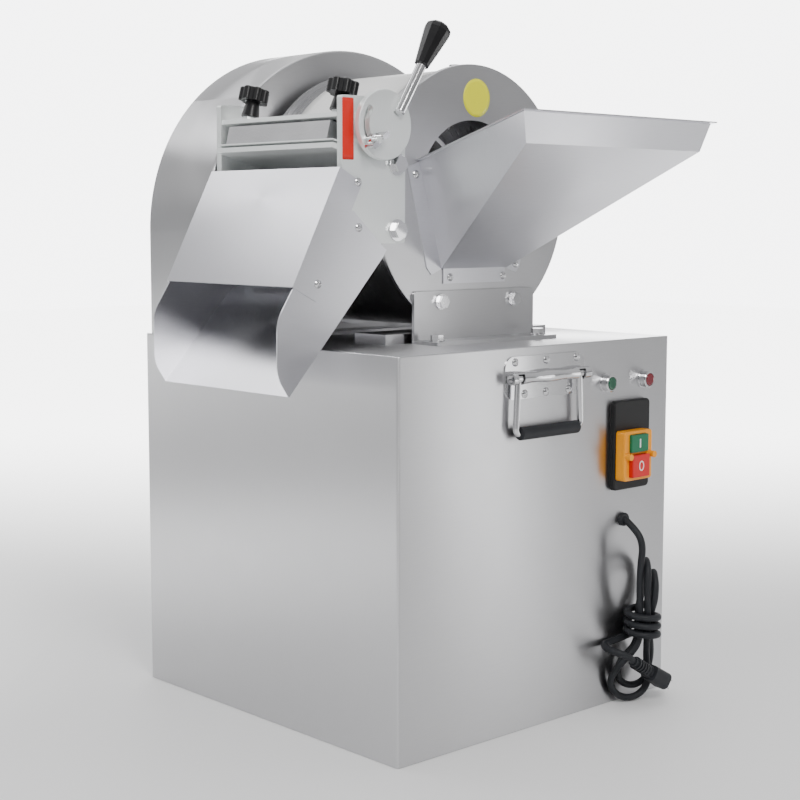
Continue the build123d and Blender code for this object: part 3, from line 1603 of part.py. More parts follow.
cord_radii = corner_radii(cord_points)
print("cord corner radii", [round(r, 1) for r in cord_radii])
with BuildPart() as mains_cord:
    with BuildLine() as cord_path:
        FilletPolyline(*cord_points, radius=cord_radii)
    cord_wire = cord_path.wires()[0]
    with BuildSketch(Plane(origin=cord_wire @ 0, z_dir=cord_wire % 0)):
        Circle(cable_radius)
    sweep()
mains_cord.part.label = "mains_cord"
export_step(mains_cord.part, "parts/mains_cord.step")
cord_length = cord_wire.length
print("cord tube length", round(cord_length, 1), "volume ratio",
      round(mains_cord.part.volume / (pi * cable_radius**2 * cord_length), 4))

# Hank: gathered loops above, wraps around the middle, open loops below
hank_x = cable_x + 15
hank_y = front_face - 24
wrap_top = cable_height - 110
wrap_bottom = cable_height - 157
wrap_width = 46
hank_sections = [
    (hank_x + 16, hank_y - 1, cable_height - 53, 44, 38),
    (hank_x + 13, hank_y - 1, cable_height - 72, 48, 42),
    (hank_x + 1, hank_y, wrap_top + 3, 30, 30),
    (hank_x, hank_y, wrap_top, wrap_width, wrap_width),
    (hank_x, hank_y, wrap_bottom, wrap_width, wrap_width),
    (hank_x - 14, hank_y - 4, wrap_bottom - 14, 70, 44),
    (hank_x - 24, hank_y - 13, 40, 92, 58),
    (hank_x - 30, hank_y - 17, 1, 62, 40),
]
with BuildPart() as cord_hank:
    for x, y, z, width, depth in hank_sections:
        with BuildSketch(Plane.XY.offset(z)):
            with Locations((x, y)):
                Ellipse(width / 2, depth / 2)
    loft(ruled=True)
cord_hank.part.label = "cord_hank"
export_step(cord_hank.part, "parts/cord_hank.step")

# Plug pushed through the lower loops, with a ribbed strain relief
plug_start = Vector(hank_x - 41, hank_y - 18.5, 63)
plug_direction = Vector(65, 4, -38).normalized()
plug_plane = Plane(origin=plug_start, x_dir=(0, 1, 0.1), z_dir=plug_direction)
relief_length = 42
relief_rings = 6
head_length = 32
with BuildPart() as plug_body:
    with BuildSketch(plug_plane):
        Circle(6)
    with BuildSketch(plug_plane.offset(relief_length)):
        Circle(8)
    loft()
    for index in range(relief_rings):
        with BuildSketch(plug_plane.offset(6 + index * 6)):
            Circle(8.2)
        extrude(amount=3)
    with BuildSketch(plug_plane.offset(relief_length)):
        RectangleRounded(22, 20, 6)
    with BuildSketch(plug_plane.offset(relief_length + head_length)):
        RectangleRounded(26, 22, 7)
    loft()
plug_body.part.label = "plug_body"
export_step(plug_body.part, "parts/plug_body.step")

with BuildPart() as plug_pins:
    with BuildSketch(plug_plane.offset(relief_length + head_length)):
        with GridLocations(0, 11, 1, 2):
            Rectangle(6.3, 1.6)
    extrude(amount=18)
plug_pins.part.label = "plug_pins"
export_step(plug_pins.part, "parts/plug_pins.step")
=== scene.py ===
from math import cos, radians, sin, tau

import bmesh
import bpy
import numpy as np
from mathutils import Matrix, Vector


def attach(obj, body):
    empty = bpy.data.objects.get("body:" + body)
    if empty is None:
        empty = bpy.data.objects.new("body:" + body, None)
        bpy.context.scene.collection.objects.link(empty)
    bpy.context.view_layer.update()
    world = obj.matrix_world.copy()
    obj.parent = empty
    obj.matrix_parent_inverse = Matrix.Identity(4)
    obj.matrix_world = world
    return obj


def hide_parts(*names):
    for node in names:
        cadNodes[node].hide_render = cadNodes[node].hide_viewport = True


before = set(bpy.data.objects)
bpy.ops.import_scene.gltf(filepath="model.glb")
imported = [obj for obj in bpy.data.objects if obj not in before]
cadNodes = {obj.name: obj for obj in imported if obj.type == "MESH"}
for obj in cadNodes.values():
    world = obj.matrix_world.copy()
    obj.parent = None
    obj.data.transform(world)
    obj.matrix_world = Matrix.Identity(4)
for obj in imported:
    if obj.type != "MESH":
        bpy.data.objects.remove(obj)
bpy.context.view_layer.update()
mm = 0.001


# camera and softboxes: the photograph's view, and a strip that draws the bright band on the cabinet's front

print("stage: camera and light")

shot = {
    "place": (-1.3801, -1.4826, 0.6065), "yaw": 42.773, "pitch": 6.534, "roll": 0.063,
    "lens": 70.67, "sensor": 36, "farthest": 50,
}
lampSettings = [                               # name, place, target, width, height, power, tint
    ("keySoftbox", (-1.0, -2.1, 2.0), (0, 0, 0.5), 0.8, 0.8, 38, (1.0, 0.99, 0.98)),
    ("topSoftbox", (0.2, 0.3, 2.6), (0, 0, 0.4), 2.6, 2.4, 22, (1, 1, 1)),
    ("hoodSoftbox", (-0.8, 1.5, 1.95), (-0.25, 0.2, 0.7), 0.8, 0.8, 7, (0.99, 0.99, 1.0)),
    ("frontStrip", (0.64, -0.97, 0.32), (-0.05, -0.26, 0.3), 0.15, 0.6, 0.75, (1, 1, 1)),
    ("mouthCard", (-1.5, -0.1, 0.62), (-0.3, -0.05, 0.42), 0.5, 0.3, 2.2, (0.95, 0.98, 1.0)),
]

cameraData = bpy.data.cameras.new("photoCamera")
cameraData.lens = shot["lens"]
cameraData.sensor_width = shot["sensor"]
cameraData.sensor_fit = "HORIZONTAL"
cameraData.clip_end = shot["farthest"]
camera = bpy.data.objects.new("photoCamera", cameraData)
bpy.context.collection.objects.link(camera)
turn = (Matrix.Rotation(radians(-shot["yaw"]), 4, "Z")
        @ Matrix.Rotation(radians(90 - shot["pitch"]), 4, "X")
        @ Matrix.Rotation(radians(shot["roll"]), 4, "Z"))
camera.matrix_world = Matrix.Translation(shot["place"]) @ turn
bpy.context.scene.camera = camera


def aimedLamp(name, place, target, width, height, power, tint):
    # a rectangular softbox at place that looks at target, with its height upright
    data = bpy.data.lights.new(name, "AREA")
    data.shape = "RECTANGLE"
    data.size, data.size_y = width, height
    data.energy, data.color = power, tint
    lamp = bpy.data.objects.new(name, data)
    bpy.context.collection.objects.link(lamp)
    aim = (Vector(target) - Vector(place)).to_track_quat("-Z", "Y")
    lamp.matrix_world = Matrix.Translation(place) @ aim.to_matrix().to_4x4()


for lampRow in lampSettings:
    aimedLamp(*lampRow)


# shader helpers

noiseForm = {                                  # detail and roughness of each noise
    "streaks": (2.0, 0.6), "clouds": (3.0, 0.55), "smudges": (4.0, 0.6), "grain": (2.0, 0.6),
    "wear": (5.0, 0.65), "castClouds": (4.0, 0.5), "floorClouds": (2.0, 0.5),
}


class Val:                                     # a socket in an expression: adds Math nodes as it is used
    def __init__(self, finish, socket):
        self.finish, self.socket = finish, socket

    def maths(self, operation, first, second):
        return self.finish.out("Math", {"operation": operation}, {0: first, 1: second})

    def __add__(self, other):
        return self.maths("ADD", self, other)

    __radd__ = __add__

    def __sub__(self, other):
        return self.maths("SUBTRACT", self, other)

    def __rsub__(self, other):
        return self.maths("SUBTRACT", other, self)

    def __mul__(self, other):
        return self.maths("MULTIPLY", self, other)

    __rmul__ = __mul__


class Finish:                                  # the nodes of one material, or of the world
    def __init__(self, owner, outputKind="OutputMaterial"):
        owner.use_nodes = True
        self.owner, self.tree = owner, owner.node_tree
        self.tree.nodes.clear()
        self.output = self.node(outputKind)

    def node(self, kind, settings=None, inputs=None):
        # one node: its settings come first, and each input is a link or a fixed value
        made = self.tree.nodes.new("ShaderNode" + kind)
        for key, value in (settings or {}).items():
            if key == "stops":                 # a ramp's places and colours
                elements = made.color_ramp.elements
                while len(elements) < len(value):
                    elements.new(0.5)
                for element, (place, tint) in zip(elements, value):
                    element.position, element.color = place, (*tint, 1)
            else:
                setattr(made, key, value)
        for key, value in (inputs or {}).items():
            source = value.socket if isinstance(value, Val) else value
            if isinstance(source, bpy.types.NodeSocket):
                self.tree.links.new(source, made.inputs[key])
            else:
                made.inputs[key].default_value = source
        return made

    def out(self, kind, settings=None, inputs=None, output=0):
        # the node's output, ready for an expression
        return Val(self, self.node(kind, settings, inputs).outputs[output])

    def objectPoint(self, scale=(1, 1, 1)):
        # the object's own coordinates, stretched for a grain
        point = self.out("TexCoord", output="Object")
        return self.out("Mapping", {}, {"Vector": point, "Scale": scale})

    def noise(self, form, point, scale):
        detail, rough = noiseForm[form]
        return self.out("TexNoise", {}, {
            "Vector": point, "Scale": scale, "Detail": detail, "Roughness": rough,
        })

    def blendTint(self, amount, dark, light):
        # a colour between dark and light by amount
        sockets = {0: amount, 6: (*dark, 1), 7: (*light, 1)}
        return self.out("Mix", {"data_type": "RGBA"}, sockets, 2)

    def bump(self, height, strength, distance):
        return self.out("Bump", {}, {"Strength": strength, "Distance": distance, "Height": height})

    def shade(self, kind, inputs):
        # the last shader, joined to the output
        self.tree.links.new(self.node(kind, {}, inputs).outputs[0], self.output.inputs["Surface"])
        return self.owner


def newFinish(name):
    return Finish(bpy.data.materials.new(name))


def steelInputs(finish, look, grain):
    # streaks along a grain over clouds and smudges: all move the roughness, and the streaks lift the surface
    streaks = finish.noise("streaks", finish.objectPoint(grain), look["grainScale"])
    clouds = finish.noise("clouds", finish.objectPoint(), look["cloudScale"])
    smudges = finish.noise("smudges", finish.objectPoint(), look["cloudScale"] * look["smudgeShare"])
    rough = look["rough"] + (streaks - 0.5) * look["streakRough"] + (clouds - 0.5) * look["cloudRough"]
    rough = rough + (smudges - 0.5) * look["smudgeRough"]
    tint = clouds * (1 - look["streakTint"]) + streaks * look["streakTint"]
    return {
        "Base Color": finish.blendTint(tint, look["dark"], look["light"]),
        "Metallic": look["metal"], "Roughness": rough,
        "Normal": finish.bump(streaks, look["bump"], look["bumpDepth"]),
    }


def brushedSteel(name, look):
    finish = newFinish(name)
    return finish.shade("BsdfPrincipled", steelInputs(finish, look, look["grain"]))


def panelSteel(name, look):
    # two brushed shaders: faces that look along X carry an upright grain and all others a level one
    finish = newFinish(name)
    level, upright = [
        finish.out("BsdfPrincipled", {}, {
            **steelInputs(finish, look, grain),
            "Anisotropic": look["anisotropy"], "Anisotropic Rotation": turned,
        })
        for grain, turned in ((look["grain"], look["turned"]), (look["sideGrain"], look["sideTurned"]))
    ]
    normal = finish.out("TexCoord", output="Normal")
    facing = finish.out("SeparateXYZ", {}, {0: normal}, "X")
    squares = {0: facing * facing, 1: look["sideFrom"] ** 2}
    sideways = finish.out("Math", {"operation": "GREATER_THAN"}, squares)
    return finish.shade("MixShader", {0: sideways, 1: level, 2: upright})


def mouldedPlastic(name, look):
    # fine moulded grain, with wear that lightens and dulls it
    finish = newFinish(name)
    grain = finish.noise("grain", finish.objectPoint(), look["grainScale"])
    wear = finish.noise("wear", finish.objectPoint(), look["wearScale"])
    rough = look["rough"] + (wear - 0.5) * look["wearRough"] + (grain - 0.5) * look["grainRough"]
    return finish.shade("BsdfPrincipled", {
        "Base Color": finish.blendTint(wear, look["dark"], look["light"]), "Roughness": rough,
        "Normal": finish.bump(grain, look["bump"], look["bumpDepth"]), "Coat Weight": look["coat"],
        "Coat Roughness": look["coatRough"], "Specular IOR Level": look["gloss"],
    })


def castMetal(name, look):
    # a pebbled cast skin under soft clouds
    finish = newFinish(name)
    pebbles = finish.out("TexVoronoi", {"feature": "SMOOTH_F1"},
                         {"Vector": finish.objectPoint(), "Scale": look["pebbleScale"]})
    clouds = finish.noise("castClouds", finish.objectPoint(), look["cloudScale"])
    return finish.shade("BsdfPrincipled", {
        "Base Color": finish.blendTint(clouds, look["dark"], look["light"]), "Metallic": 1.0,
        "Roughness": look["rough"] + (clouds - 0.5) * look["cloudRough"],
        "Normal": finish.bump(pebbles, look["bump"], look["bumpDepth"]),
    })


# the finishes

print("stage: finishes")

sheetSteel = {
    "dark": (0.52, 0.52, 0.53), "light": (0.66, 0.66, 0.67), "metal": 1.0, "rough": 0.33,
    "grain": (1, 1, 26), "sideGrain": (1, 26, 1), "sideFrom": 0.7, "grainScale": 60.0, "cloudScale": 3.0,
    "smudgeShare": 7, "streakRough": 0.1, "cloudRough": 0.08, "smudgeRough": 0.04, "bump": 0.02,
    "bumpDepth": 0.0004, "streakTint": 0.4, "anisotropy": 0.92, "turned": 0.25, "sideTurned": 0.0,
}
formedSteel = {
    **sheetSteel, "dark": (0.62, 0.62, 0.655), "light": (0.8, 0.8, 0.835), "rough": 0.3, "cloudRough": 0.1,
    "cloudScale": 4.0, "streakRough": 0.04, "bump": 0.006, "anisotropy": 0.6,
}
faceSteel = {
    **sheetSteel, "dark": (0.5, 0.5, 0.51), "light": (0.64, 0.64, 0.655), "rough": 0.3, "anisotropy": 0.5,
    "cloudScale": 6.0, "streakRough": 0.05, "bump": 0.01,
}
turnedSteel = {**sheetSteel, "grain": (1, 40, 1), "grainScale": 30.0, "rough": 0.26, "bump": 0.05}
plateSteel = {
    **sheetSteel, "dark": (0.76, 0.79, 0.78), "light": (0.9, 0.93, 0.92), "rough": 0.36,
    "grain": (14, 1, 1), "bump": 0.06, "metal": 0.5,
}
brightSteel = {
    **sheetSteel, "dark": (0.56, 0.56, 0.57), "light": (0.72, 0.72, 0.73), "rough": 0.13,
    "streakRough": 0.04, "cloudRough": 0.05, "smudgeRough": 0.06, "bump": 0.015,
}
castAluminium = {
    "dark": (0.5, 0.5, 0.51), "light": (0.66, 0.66, 0.67), "rough": 0.42, "cloudScale": 22.0,
    "cloudRough": 0.2, "pebbleScale": 420.0, "bump": 0.25, "bumpDepth": 0.0006,
}
blackGloss = {
    "dark": (0.004, 0.004, 0.0045), "light": (0.011, 0.011, 0.012), "rough": 0.34, "wearScale": 30.0,
    "wearRough": 0.16, "grainScale": 2600.0, "grainRough": 0.08, "bump": 0.12, "bumpDepth": 0.0003,
    "coat": 0.1, "coatRough": 0.15, "gloss": 0.3,
}


def tintedPlastic(name, dark, light, **changes):
    return mouldedPlastic(name, {**blackGloss, "dark": dark, "light": light, **changes})


finishes = {
    "cabinetSheet": panelSteel("sheetSteelBrushed", sheetSteel),
    "formedSheet": panelSteel("formedSheetSteel", formedSteel),
    "drumFace": panelSteel("drumFaceSteel", faceSteel),
    "drumTurned": brushedSteel("drumSteelTurned", turnedSteel),
    "plateGround": brushedSteel("plateSteelGround", plateSteel),
    "brightMetal": brushedSteel("brightSteel", brightSteel),
    "machined": brushedSteel("machinedSteel", {**turnedSteel, "rough": 0.22}),
    "cast": castMetal("castAluminium", castAluminium),
    "blackPlastic": mouldedPlastic("blackPlasticGloss", blackGloss),
    "blackMatt": mouldedPlastic("blackPlasticMatt", {**blackGloss, "rough": 0.52, "coat": 0.0}),
    "yellowPlastic": tintedPlastic("yellowPlastic", (0.8, 0.27, 0.0), (0.92, 0.36, 0.002), bump=0.06),
    "greenPlastic": tintedPlastic("greenPlastic", (0.0, 0.11, 0.045), (0.002, 0.16, 0.065), bump=0.04),
    "redPlastic": tintedPlastic("redPlastic", (0.5, 0.004, 0.004), (0.66, 0.008, 0.006), bump=0.04),
    "greenLamp": tintedPlastic("greenLampLens", (0.0, 0.045, 0.02), (0.003, 0.09, 0.04),
                               coat=0.7, rough=0.1, bump=0.0),
    "redLamp": tintedPlastic("redLampLens", (0.1, 0.0, 0.006), (0.2, 0.002, 0.012),
                             coat=0.7, rough=0.1, bump=0.0),
    "rubber": tintedPlastic("darkRubber", (0.008, 0.009, 0.011), (0.02, 0.022, 0.026), coat=0.0, rough=0.55),
    "whitePaint": tintedPlastic("whiteMark", (0.8, 0.8, 0.78), (0.9, 0.9, 0.88), bump=0.0),
    "sheetLabel": tintedPlastic("plainWhiteSheet", (0.78, 0.78, 0.77), (0.88, 0.88, 0.87),
                                rough=0.45, bump=0.02),
    "redStrip": tintedPlastic("plainRedStrip", (0.62, 0.008, 0.004), (0.74, 0.02, 0.008),
                              rough=0.4, bump=0.02),
    "yellowDisc": tintedPlastic("plainYellowDisc", (0.86, 0.84, 0.01), (0.94, 0.92, 0.03),
                                rough=0.4, bump=0.02),
    "motorPaint": tintedPlastic("motorPaint", (0.03, 0.06, 0.12), (0.05, 0.09, 0.17)),
}
finishOfNode = {
    "cabinetSheet": ["cabinet_body", "rear_panel", "belt_guard", "base_plate", "drum_rail", "drum_brackets"],
    "formedSheet": ["hood", "chute", "hopper"],
    "drumFace": ["drum_front_plate", "drum_back_plate"],
    "drumTurned": ["drum_shell"],
    "plateGround": ["near_side_plate", "far_side_plate", "gate_bars", "clamp_bar", "blade_seat", "comb_plate",
                    "quadrant_disc"],
    "brightMetal": ["bracket_bolts", "side_plate_bolts", "sheet_screws", "wing_nut", "lamp_bezels",
                    "handle_plates", "front_bail", "rear_bail", "lever_rod", "plug_pins"],
    "machined": ["main_shaft", "main_gear", "disc_gear", "crosscut_gear", "bearings", "slicing_blade",
                 "disc_rotor", "crosscut_rotor", "gauge_shaft"],
    "cast": ["impeller", "bearing_housing", "driven_pulley", "motor_pulley", "gauge_block"],
    "blackPlastic": ["lever_grip", "front_star_knob", "rear_star_knob"],
    "blackMatt": ["switch_plate"],
    "yellowPlastic": ["switch_housing"],
    "greenPlastic": ["start_button"],
    "redPlastic": ["stop_button"],
    "greenLamp": ["green_lens"],
    "redLamp": ["red_lens"],
    "rubber": ["front_grip", "rear_grip", "cable_grommet", "plug_body", "drive_belt", "mains_cord",
               "cord_hank"],
    "motorPaint": ["motor"],
}
for finishName, nodeNames in finishOfNode.items():
    for nodeName in nodeNames:
        for materialSlot in cadNodes[nodeName].material_slots:
            materialSlot.material = finishes[finishName]


# mesh helpers

seamReach = 2e-6                               # metres: points closer than this become one


def gridPiece(name, grids, finish, body="machine", closedU=False, closedV=False):
    # each grid is rows by columns by 3: neighbours become quads, and a closed direction wraps round
    points, faces, start = [], [], 0
    for grid in grids:
        rows, columns = grid.shape[:2]
        row, column = np.meshgrid(np.arange(rows if closedU else rows - 1),
                                  np.arange(columns if closedV else columns - 1), indexing="ij")
        nextRow, nextColumn = (row + 1) % rows, (column + 1) % columns
        quads = np.stack([row * columns + column, row * columns + nextColumn,
                          nextRow * columns + nextColumn, nextRow * columns + column], -1)
        points.append(grid.reshape(-1, 3))
        faces.append(quads.reshape(-1, 4) + start)
        start += rows * columns
    mesh = bpy.data.meshes.new(name)
    mesh.from_pydata(np.concatenate(points).tolist(), [], np.concatenate(faces).tolist())
    sewn = bmesh.new()                         # closes seams and poles, then turns every face outwards
    sewn.from_mesh(mesh)
    bmesh.ops.remove_doubles(sewn, verts=sewn.verts, dist=seamReach)
    bmesh.ops.recalc_face_normals(sewn, faces=sewn.faces)
    sewn.to_mesh(mesh)
    sewn.free()
    mesh.polygons.foreach_set("use_smooth", np.ones(len(mesh.polygons), bool))
    mesh.validate()
    mesh.materials.append(finishes[finish])
    piece = bpy.data.objects.new(name, mesh)
    bpy.context.collection.objects.link(piece)
    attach(piece, body)
    return piece


# mains cord: out of the grommet, two low loops and two high ones, three wraps, then the plug

print("stage: cord")

cordLook = {                                   # millimetres, and each stretch in the order the cord runs
    "diameter": 8.8, "steps": 8, "sides": 5, "exit": (148, -246, 234),
    "down": [(149, -265.1, 222.3), (149.9, -275.7, 204.4), (149.8, -272.3, 178), (151.8, -270, 150),
             (154.1, -269.2, 122)],
    "outerLoop": [(154.1, -269.2, 90), (152.5, -268.3, 77), (145.6, -264.6, 66), (134.8, -258.7, 55),
                  (126.8, -253.6, 44.7), (122.2, -248.9, 30.5), (127.6, -247.8, 17.1),
                  (137.8, -251.5, 7.6), (150.5, -257.2, 4), (163.2, -263, 7.6), (173.2, -266.4, 17.3),
                  (178.8, -265.6, 30.5), (176.3, -263.9, 44), (171.2, -267.3, 62), (163.7, -273.3, 77)],
    "upOuter": [(160.9, -275.8, 92), (160.9, -275.8, 112), (158.7, -277.5, 128), (155.2, -280.1, 145)],
    "nearLoop": [(154.2, -281, 161.5), (156.1, -279.1, 171.4), (161.1, -273.8, 178.7),
                 (167.9, -266.7, 181.3), (174.9, -259.7, 178.6), (179.7, -254.3, 171.4),
                 (181.6, -252.4, 161.5)],
    "downNear": [(179.9, -253.1, 147), (173.5, -254.5, 132), (165.1, -257.2, 117), (165.1, -257.2, 92)],
    "innerLoop": [(163.7, -257.6, 80), (157.3, -256.5, 69), (147, -253.4, 60.7), (138.3, -251.1, 52.5),
                  (135.7, -249.4, 39.9), (141.2, -247.7, 28.1), (150.7, -249.6, 20.4),
                  (162.2, -253.5, 17.4), (173.6, -257.3, 20.4), (183.5, -259, 28), (188.1, -257.6, 39.9),
                  (186.4, -261.5, 52.8), (179.6, -267, 67), (171.7, -271.8, 80)],
    "upInner": [(169.7, -270.5, 94.9), (171.4, -272.9, 109.6)],
    "farLoop": [(167.9, -277.2, 120.2), (164.6, -283.3, 131.2), (163.7, -285.7, 145.3),
                (165.7, -283.7, 155.4), (170.4, -278.4, 162.5), (177.7, -271.5, 165.3),
                (184.6, -264.4, 162.7), (189.7, -259.2, 155.4), (191.6, -257.4, 145.5)],
    "intoWraps": [(192.6, -258.7, 135.8), (189, -258, 125.5), (181.6, -254.2, 118.6)],
    "wrapCentre": (163, -266.5), "wrapRadius": 18.7, "wrapTop": 117, "wrapPitch": 11, "wrapTurns": 3.083,
    "wrapStart": 62, "wrapSteps": 12,
    "tail": [(148, -247.9, 82.2), (134, -247.4, 81), (119, -246.6, 80.2), (109.3, -249.2, 79.7),
             (102, -256.4, 79.2), (99.3, -266.2, 77.7), (102, -276, 75.8), (108.9, -282.8, 72.8),
             (117.2, -285.4, 67.4)],
    "plugEnd": (122.2, -285, 63),
}


def wrapPoints(look):
    # a helix about the bundle that sinks by one pitch a turn, pushed out so the spline's own radius is right
    count = int(round(look["wrapTurns"] * look["wrapSteps"])) + 1
    angle = radians(look["wrapStart"]) + tau / look["wrapSteps"] * np.arange(count)
    radius = look["wrapRadius"] * 2 / (1 + cos(tau / look["wrapSteps"]))
    sink = look["wrapPitch"] / look["wrapSteps"] * np.arange(count)
    centreX, centreY = look["wrapCentre"]
    return np.stack([centreX + radius * np.cos(angle), centreY + radius * np.sin(angle),
                     look["wrapTop"] - sink], -1).tolist()


def cordPath(look):
    # the stretches end to end, with the wraps before the tail
    path = [look["exit"]]
    for stretch in ("down", "outerLoop", "upOuter", "nearLoop", "downNear", "innerLoop", "upInner", "farLoop",
                    "intoWraps"):
        path += look[stretch]
    return path + wrapPoints(look) + look["tail"] + [look["plugEnd"]]


def splineLength(curve):
    # adds up the distances along the curve as Blender draws it, without its bevel
    depth, curve.data.bevel_depth = curve.data.bevel_depth, 0
    bpy.context.view_layer.update()
    drawn = bpy.data.meshes.new_from_object(curve.evaluated_get(bpy.context.evaluated_depsgraph_get()))
    curve.data.bevel_depth = depth
    line = np.zeros(len(drawn.vertices) * 3)
    drawn.vertices.foreach_get("co", line)
    bpy.data.meshes.remove(drawn)
    return float(np.linalg.norm(np.diff(line.reshape(-1, 3), axis=0), axis=1).sum())


cordData = bpy.data.curves.new("mainsCordLine", "CURVE")
cordData.dimensions = "3D"
cordData.resolution_u = cordLook["steps"]
cordData.bevel_depth = 1.0                     # each point's radius carries the thickness
cordData.bevel_resolution = cordLook["sides"]
cordData.use_fill_caps = True
route = cordPath(cordLook)
spline = cordData.splines.new("NURBS")
spline.points.add(len(route) - 1)
for point, place in zip(spline.points, route):
    point.co = (*[v * mm for v in place], 1)
    point.radius = cordLook["diameter"] / 2 * mm
spline.order_u = 3
spline.use_endpoint_u = True
cordData.materials.append(finishes["rubber"])
mainsCord = bpy.data.objects.new("mainsCordLine", cordData)
bpy.context.collection.objects.link(mainsCord)
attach(mainsCord, "machine")
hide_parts("mains_cord", "cord_hank")
cordLength = splineLength(mainsCord)
print("  cord length", round(cordLength, 4))


# cross-recessed screw heads in the CAD screws' places

print("stage: small pieces")

screwLook = {
    "radius": 4.9, "dome": 2.7, "rim": 0.7, "slotHalf": 0.62, "slotReach": 2.9, "slotDepth": 1.2,
    "slotSoft": 0.25, "reachSoft": 0.6, "slotTaper": 0.6, "sunk": 0.2, "rings": 26, "columns": 84,
    "turned": 0.5, "turnedPerScrew": 1.7, "turnedPerHeight": 0.01,      # radians, so that no two agree
    "faces": [                                 # the seat's place along Y, then the screws' in X and Z
        (-125.5, [(-99.5, 660), (99.5, 660), (-42, 538), (50, 538), (73, 552)]),
        (-136.0, [(-199.3, 649.2), (-259, 535.6)]),
        (-134.5, [(-197, 598)]),
        (-244.0, [(-52.5, 443), (1, 443), (55, 443), (-36, 405.2), (1, 405.2), (41.5, 405.2)]),
    ],
}


def screwHead(look, seatY, place, turned):
    # a spherical cap over a short rim, lowered where either arm of a cross covers it
    share = np.linspace(0, 1, look["rings"])[:, None]
    around = tau / look["columns"] * np.arange(look["columns"])[None, :]
    across, up = look["radius"] * share * np.cos(around), look["radius"] * share * np.sin(around)
    height = look["rim"] + (look["dome"] - look["rim"]) * (1 - share ** 2) + 0 * around
    armU = np.abs(across * cos(turned) + up * sin(turned))
    armV = np.abs(up * cos(turned) - across * sin(turned))
    narrow, wide = np.minimum(armU, armV), np.maximum(armU, armV)
    inArm = np.clip((look["slotHalf"] - narrow) / look["slotSoft"] + 0.5, 0, 1)
    inArm = inArm * np.clip((look["slotReach"] - wide) / look["reachSoft"] + 0.5, 0, 1)
    height = height - look["slotDepth"] * inArm * (1 - look["slotTaper"] * wide / look["slotReach"])
    head = np.stack([place[0] + across, seatY - height, place[1] + up], -1)
    foot = head[[-1, 0]]                       # down to the seat and in to the middle, so the head is closed
    foot[..., 1] = seatY + look["sunk"]
    return np.concatenate([head, foot]) * mm


def screwTurn(look, index, height):
    return look["turned"] + look["turnedPerScrew"] * index + look["turnedPerHeight"] * height


screwHeads = gridPiece("screwHeads", [
    screwHead(screwLook, seatY, place, screwTurn(screwLook, index, place[1]))
    for seatY, places in screwLook["faces"] for index, place in enumerate(places)
], "brightMetal", closedV=True)
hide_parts("sheet_screws")


# blank sheet on the drum, blank strip on the near side plate and blank disc on the drum's face

drumSheetLook = {"radii": (157.2, 156.9), "angles": (97, 139), "ys": (-92, 66), "axisZ": 632, "rows": 40,
                 "columns": 12}
plateStripLook = {"centre": (-211.5, 708.5), "size": (17, 69), "corner": 1.5, "y": -133.05}
plateDiscLook = {"centre": (3, 754), "size": (46, 46), "corner": 22.9, "y": -124.05}
patchForm = {"crown": 0.25, "crownPower": 6, "sunk": 0.2, "rings": 6, "columns": 96}


def curvedSheet(look):
    # a thin slab round the drum: the outer arc and the inner one make a loop, drawn together at both ends
    arc = np.radians(np.linspace(*look["angles"], look["rows"]))
    angle = np.concatenate([arc, arc[::-1]])[:, None]
    near, far = look["ys"]
    y = np.concatenate([[near], np.linspace(near, far, look["columns"]), [far]])[None, :]
    radius = np.repeat(look["radii"], look["rows"])[:, None] + 0 * y
    radius[:, [0, -1]] = np.mean(look["radii"])
    return np.stack([radius * np.cos(angle), y + 0 * angle, look["axisZ"] + radius * np.sin(angle)], -1) * mm


def roundedPatch(look, form):
    # a rounded rectangle in the XZ plane: its outline shrinks to the middle ring by ring, on a flat back
    around = tau / form["columns"] * np.arange(form["columns"])
    halfX, halfZ = [side / 2 - look["corner"] for side in look["size"]]
    outlineX = np.sign(np.cos(around)) * halfX + look["corner"] * np.cos(around)
    outlineZ = np.sign(np.sin(around)) * halfZ + look["corner"] * np.sin(around)
    share = np.concatenate([np.linspace(0, 1, form["rings"]), (1, 0)])[:, None]
    lift = form["crown"] * (1 - share ** form["crownPower"])
    lift[form["rings"]:] = -form["sunk"]
    return np.stack([look["centre"][0] + outlineX * share, look["y"] - lift + 0 * around,
                     look["centre"][1] + outlineZ * share], -1) * mm


gridPiece("drumSheet", [curvedSheet(drumSheetLook)], "sheetLabel", closedU=True)
gridPiece("plateStrip", [roundedPatch(plateStripLook, patchForm)], "redStrip", closedV=True)
gridPiece("plateDisc", [roundedPatch(plateDiscLook, patchForm)], "yellowDisc", closedV=True)


# marks moulded on the buttons, which move with them

startMarkLook = {"centre": (151, 331.5), "size": (2.4, 11.5), "corner": 1.1, "y": -267.6}
stopMarkLook = {"centre": (151, 303.5), "radii": (4.0, 5.6), "thick": 0.75, "raised": 0.35, "y": -270.0,
                "columns": 64, "sides": 14}


def ringMark(look):
    # a torus drawn out to an oval: its tube is flattened towards the button
    around = (tau / look["columns"] * np.arange(look["columns"]))[:, None]
    tube = (tau / look["sides"] * np.arange(look["sides"]))[None, :]
    across = (look["radii"][0] + look["thick"] * np.cos(tube)) * np.cos(around)
    up = (look["radii"][1] + look["thick"] * np.cos(tube)) * np.sin(around)
    return np.stack([look["centre"][0] + across, look["y"] - look["raised"] * np.sin(tube) + 0 * around,
                     look["centre"][1] + up], -1) * mm


gridPiece("stopMark", [ringMark(stopMarkLook)], "whitePaint", body="stop", closedU=True, closedV=True)
gridPiece("startMark", [roundedPatch(startMarkLook, patchForm)], "whitePaint", body="start", closedV=True)


# pale floor with a painted glow that brightens into a white sweep behind the machine, and painted pools of
# light that the walls mirror

print("stage: floor")

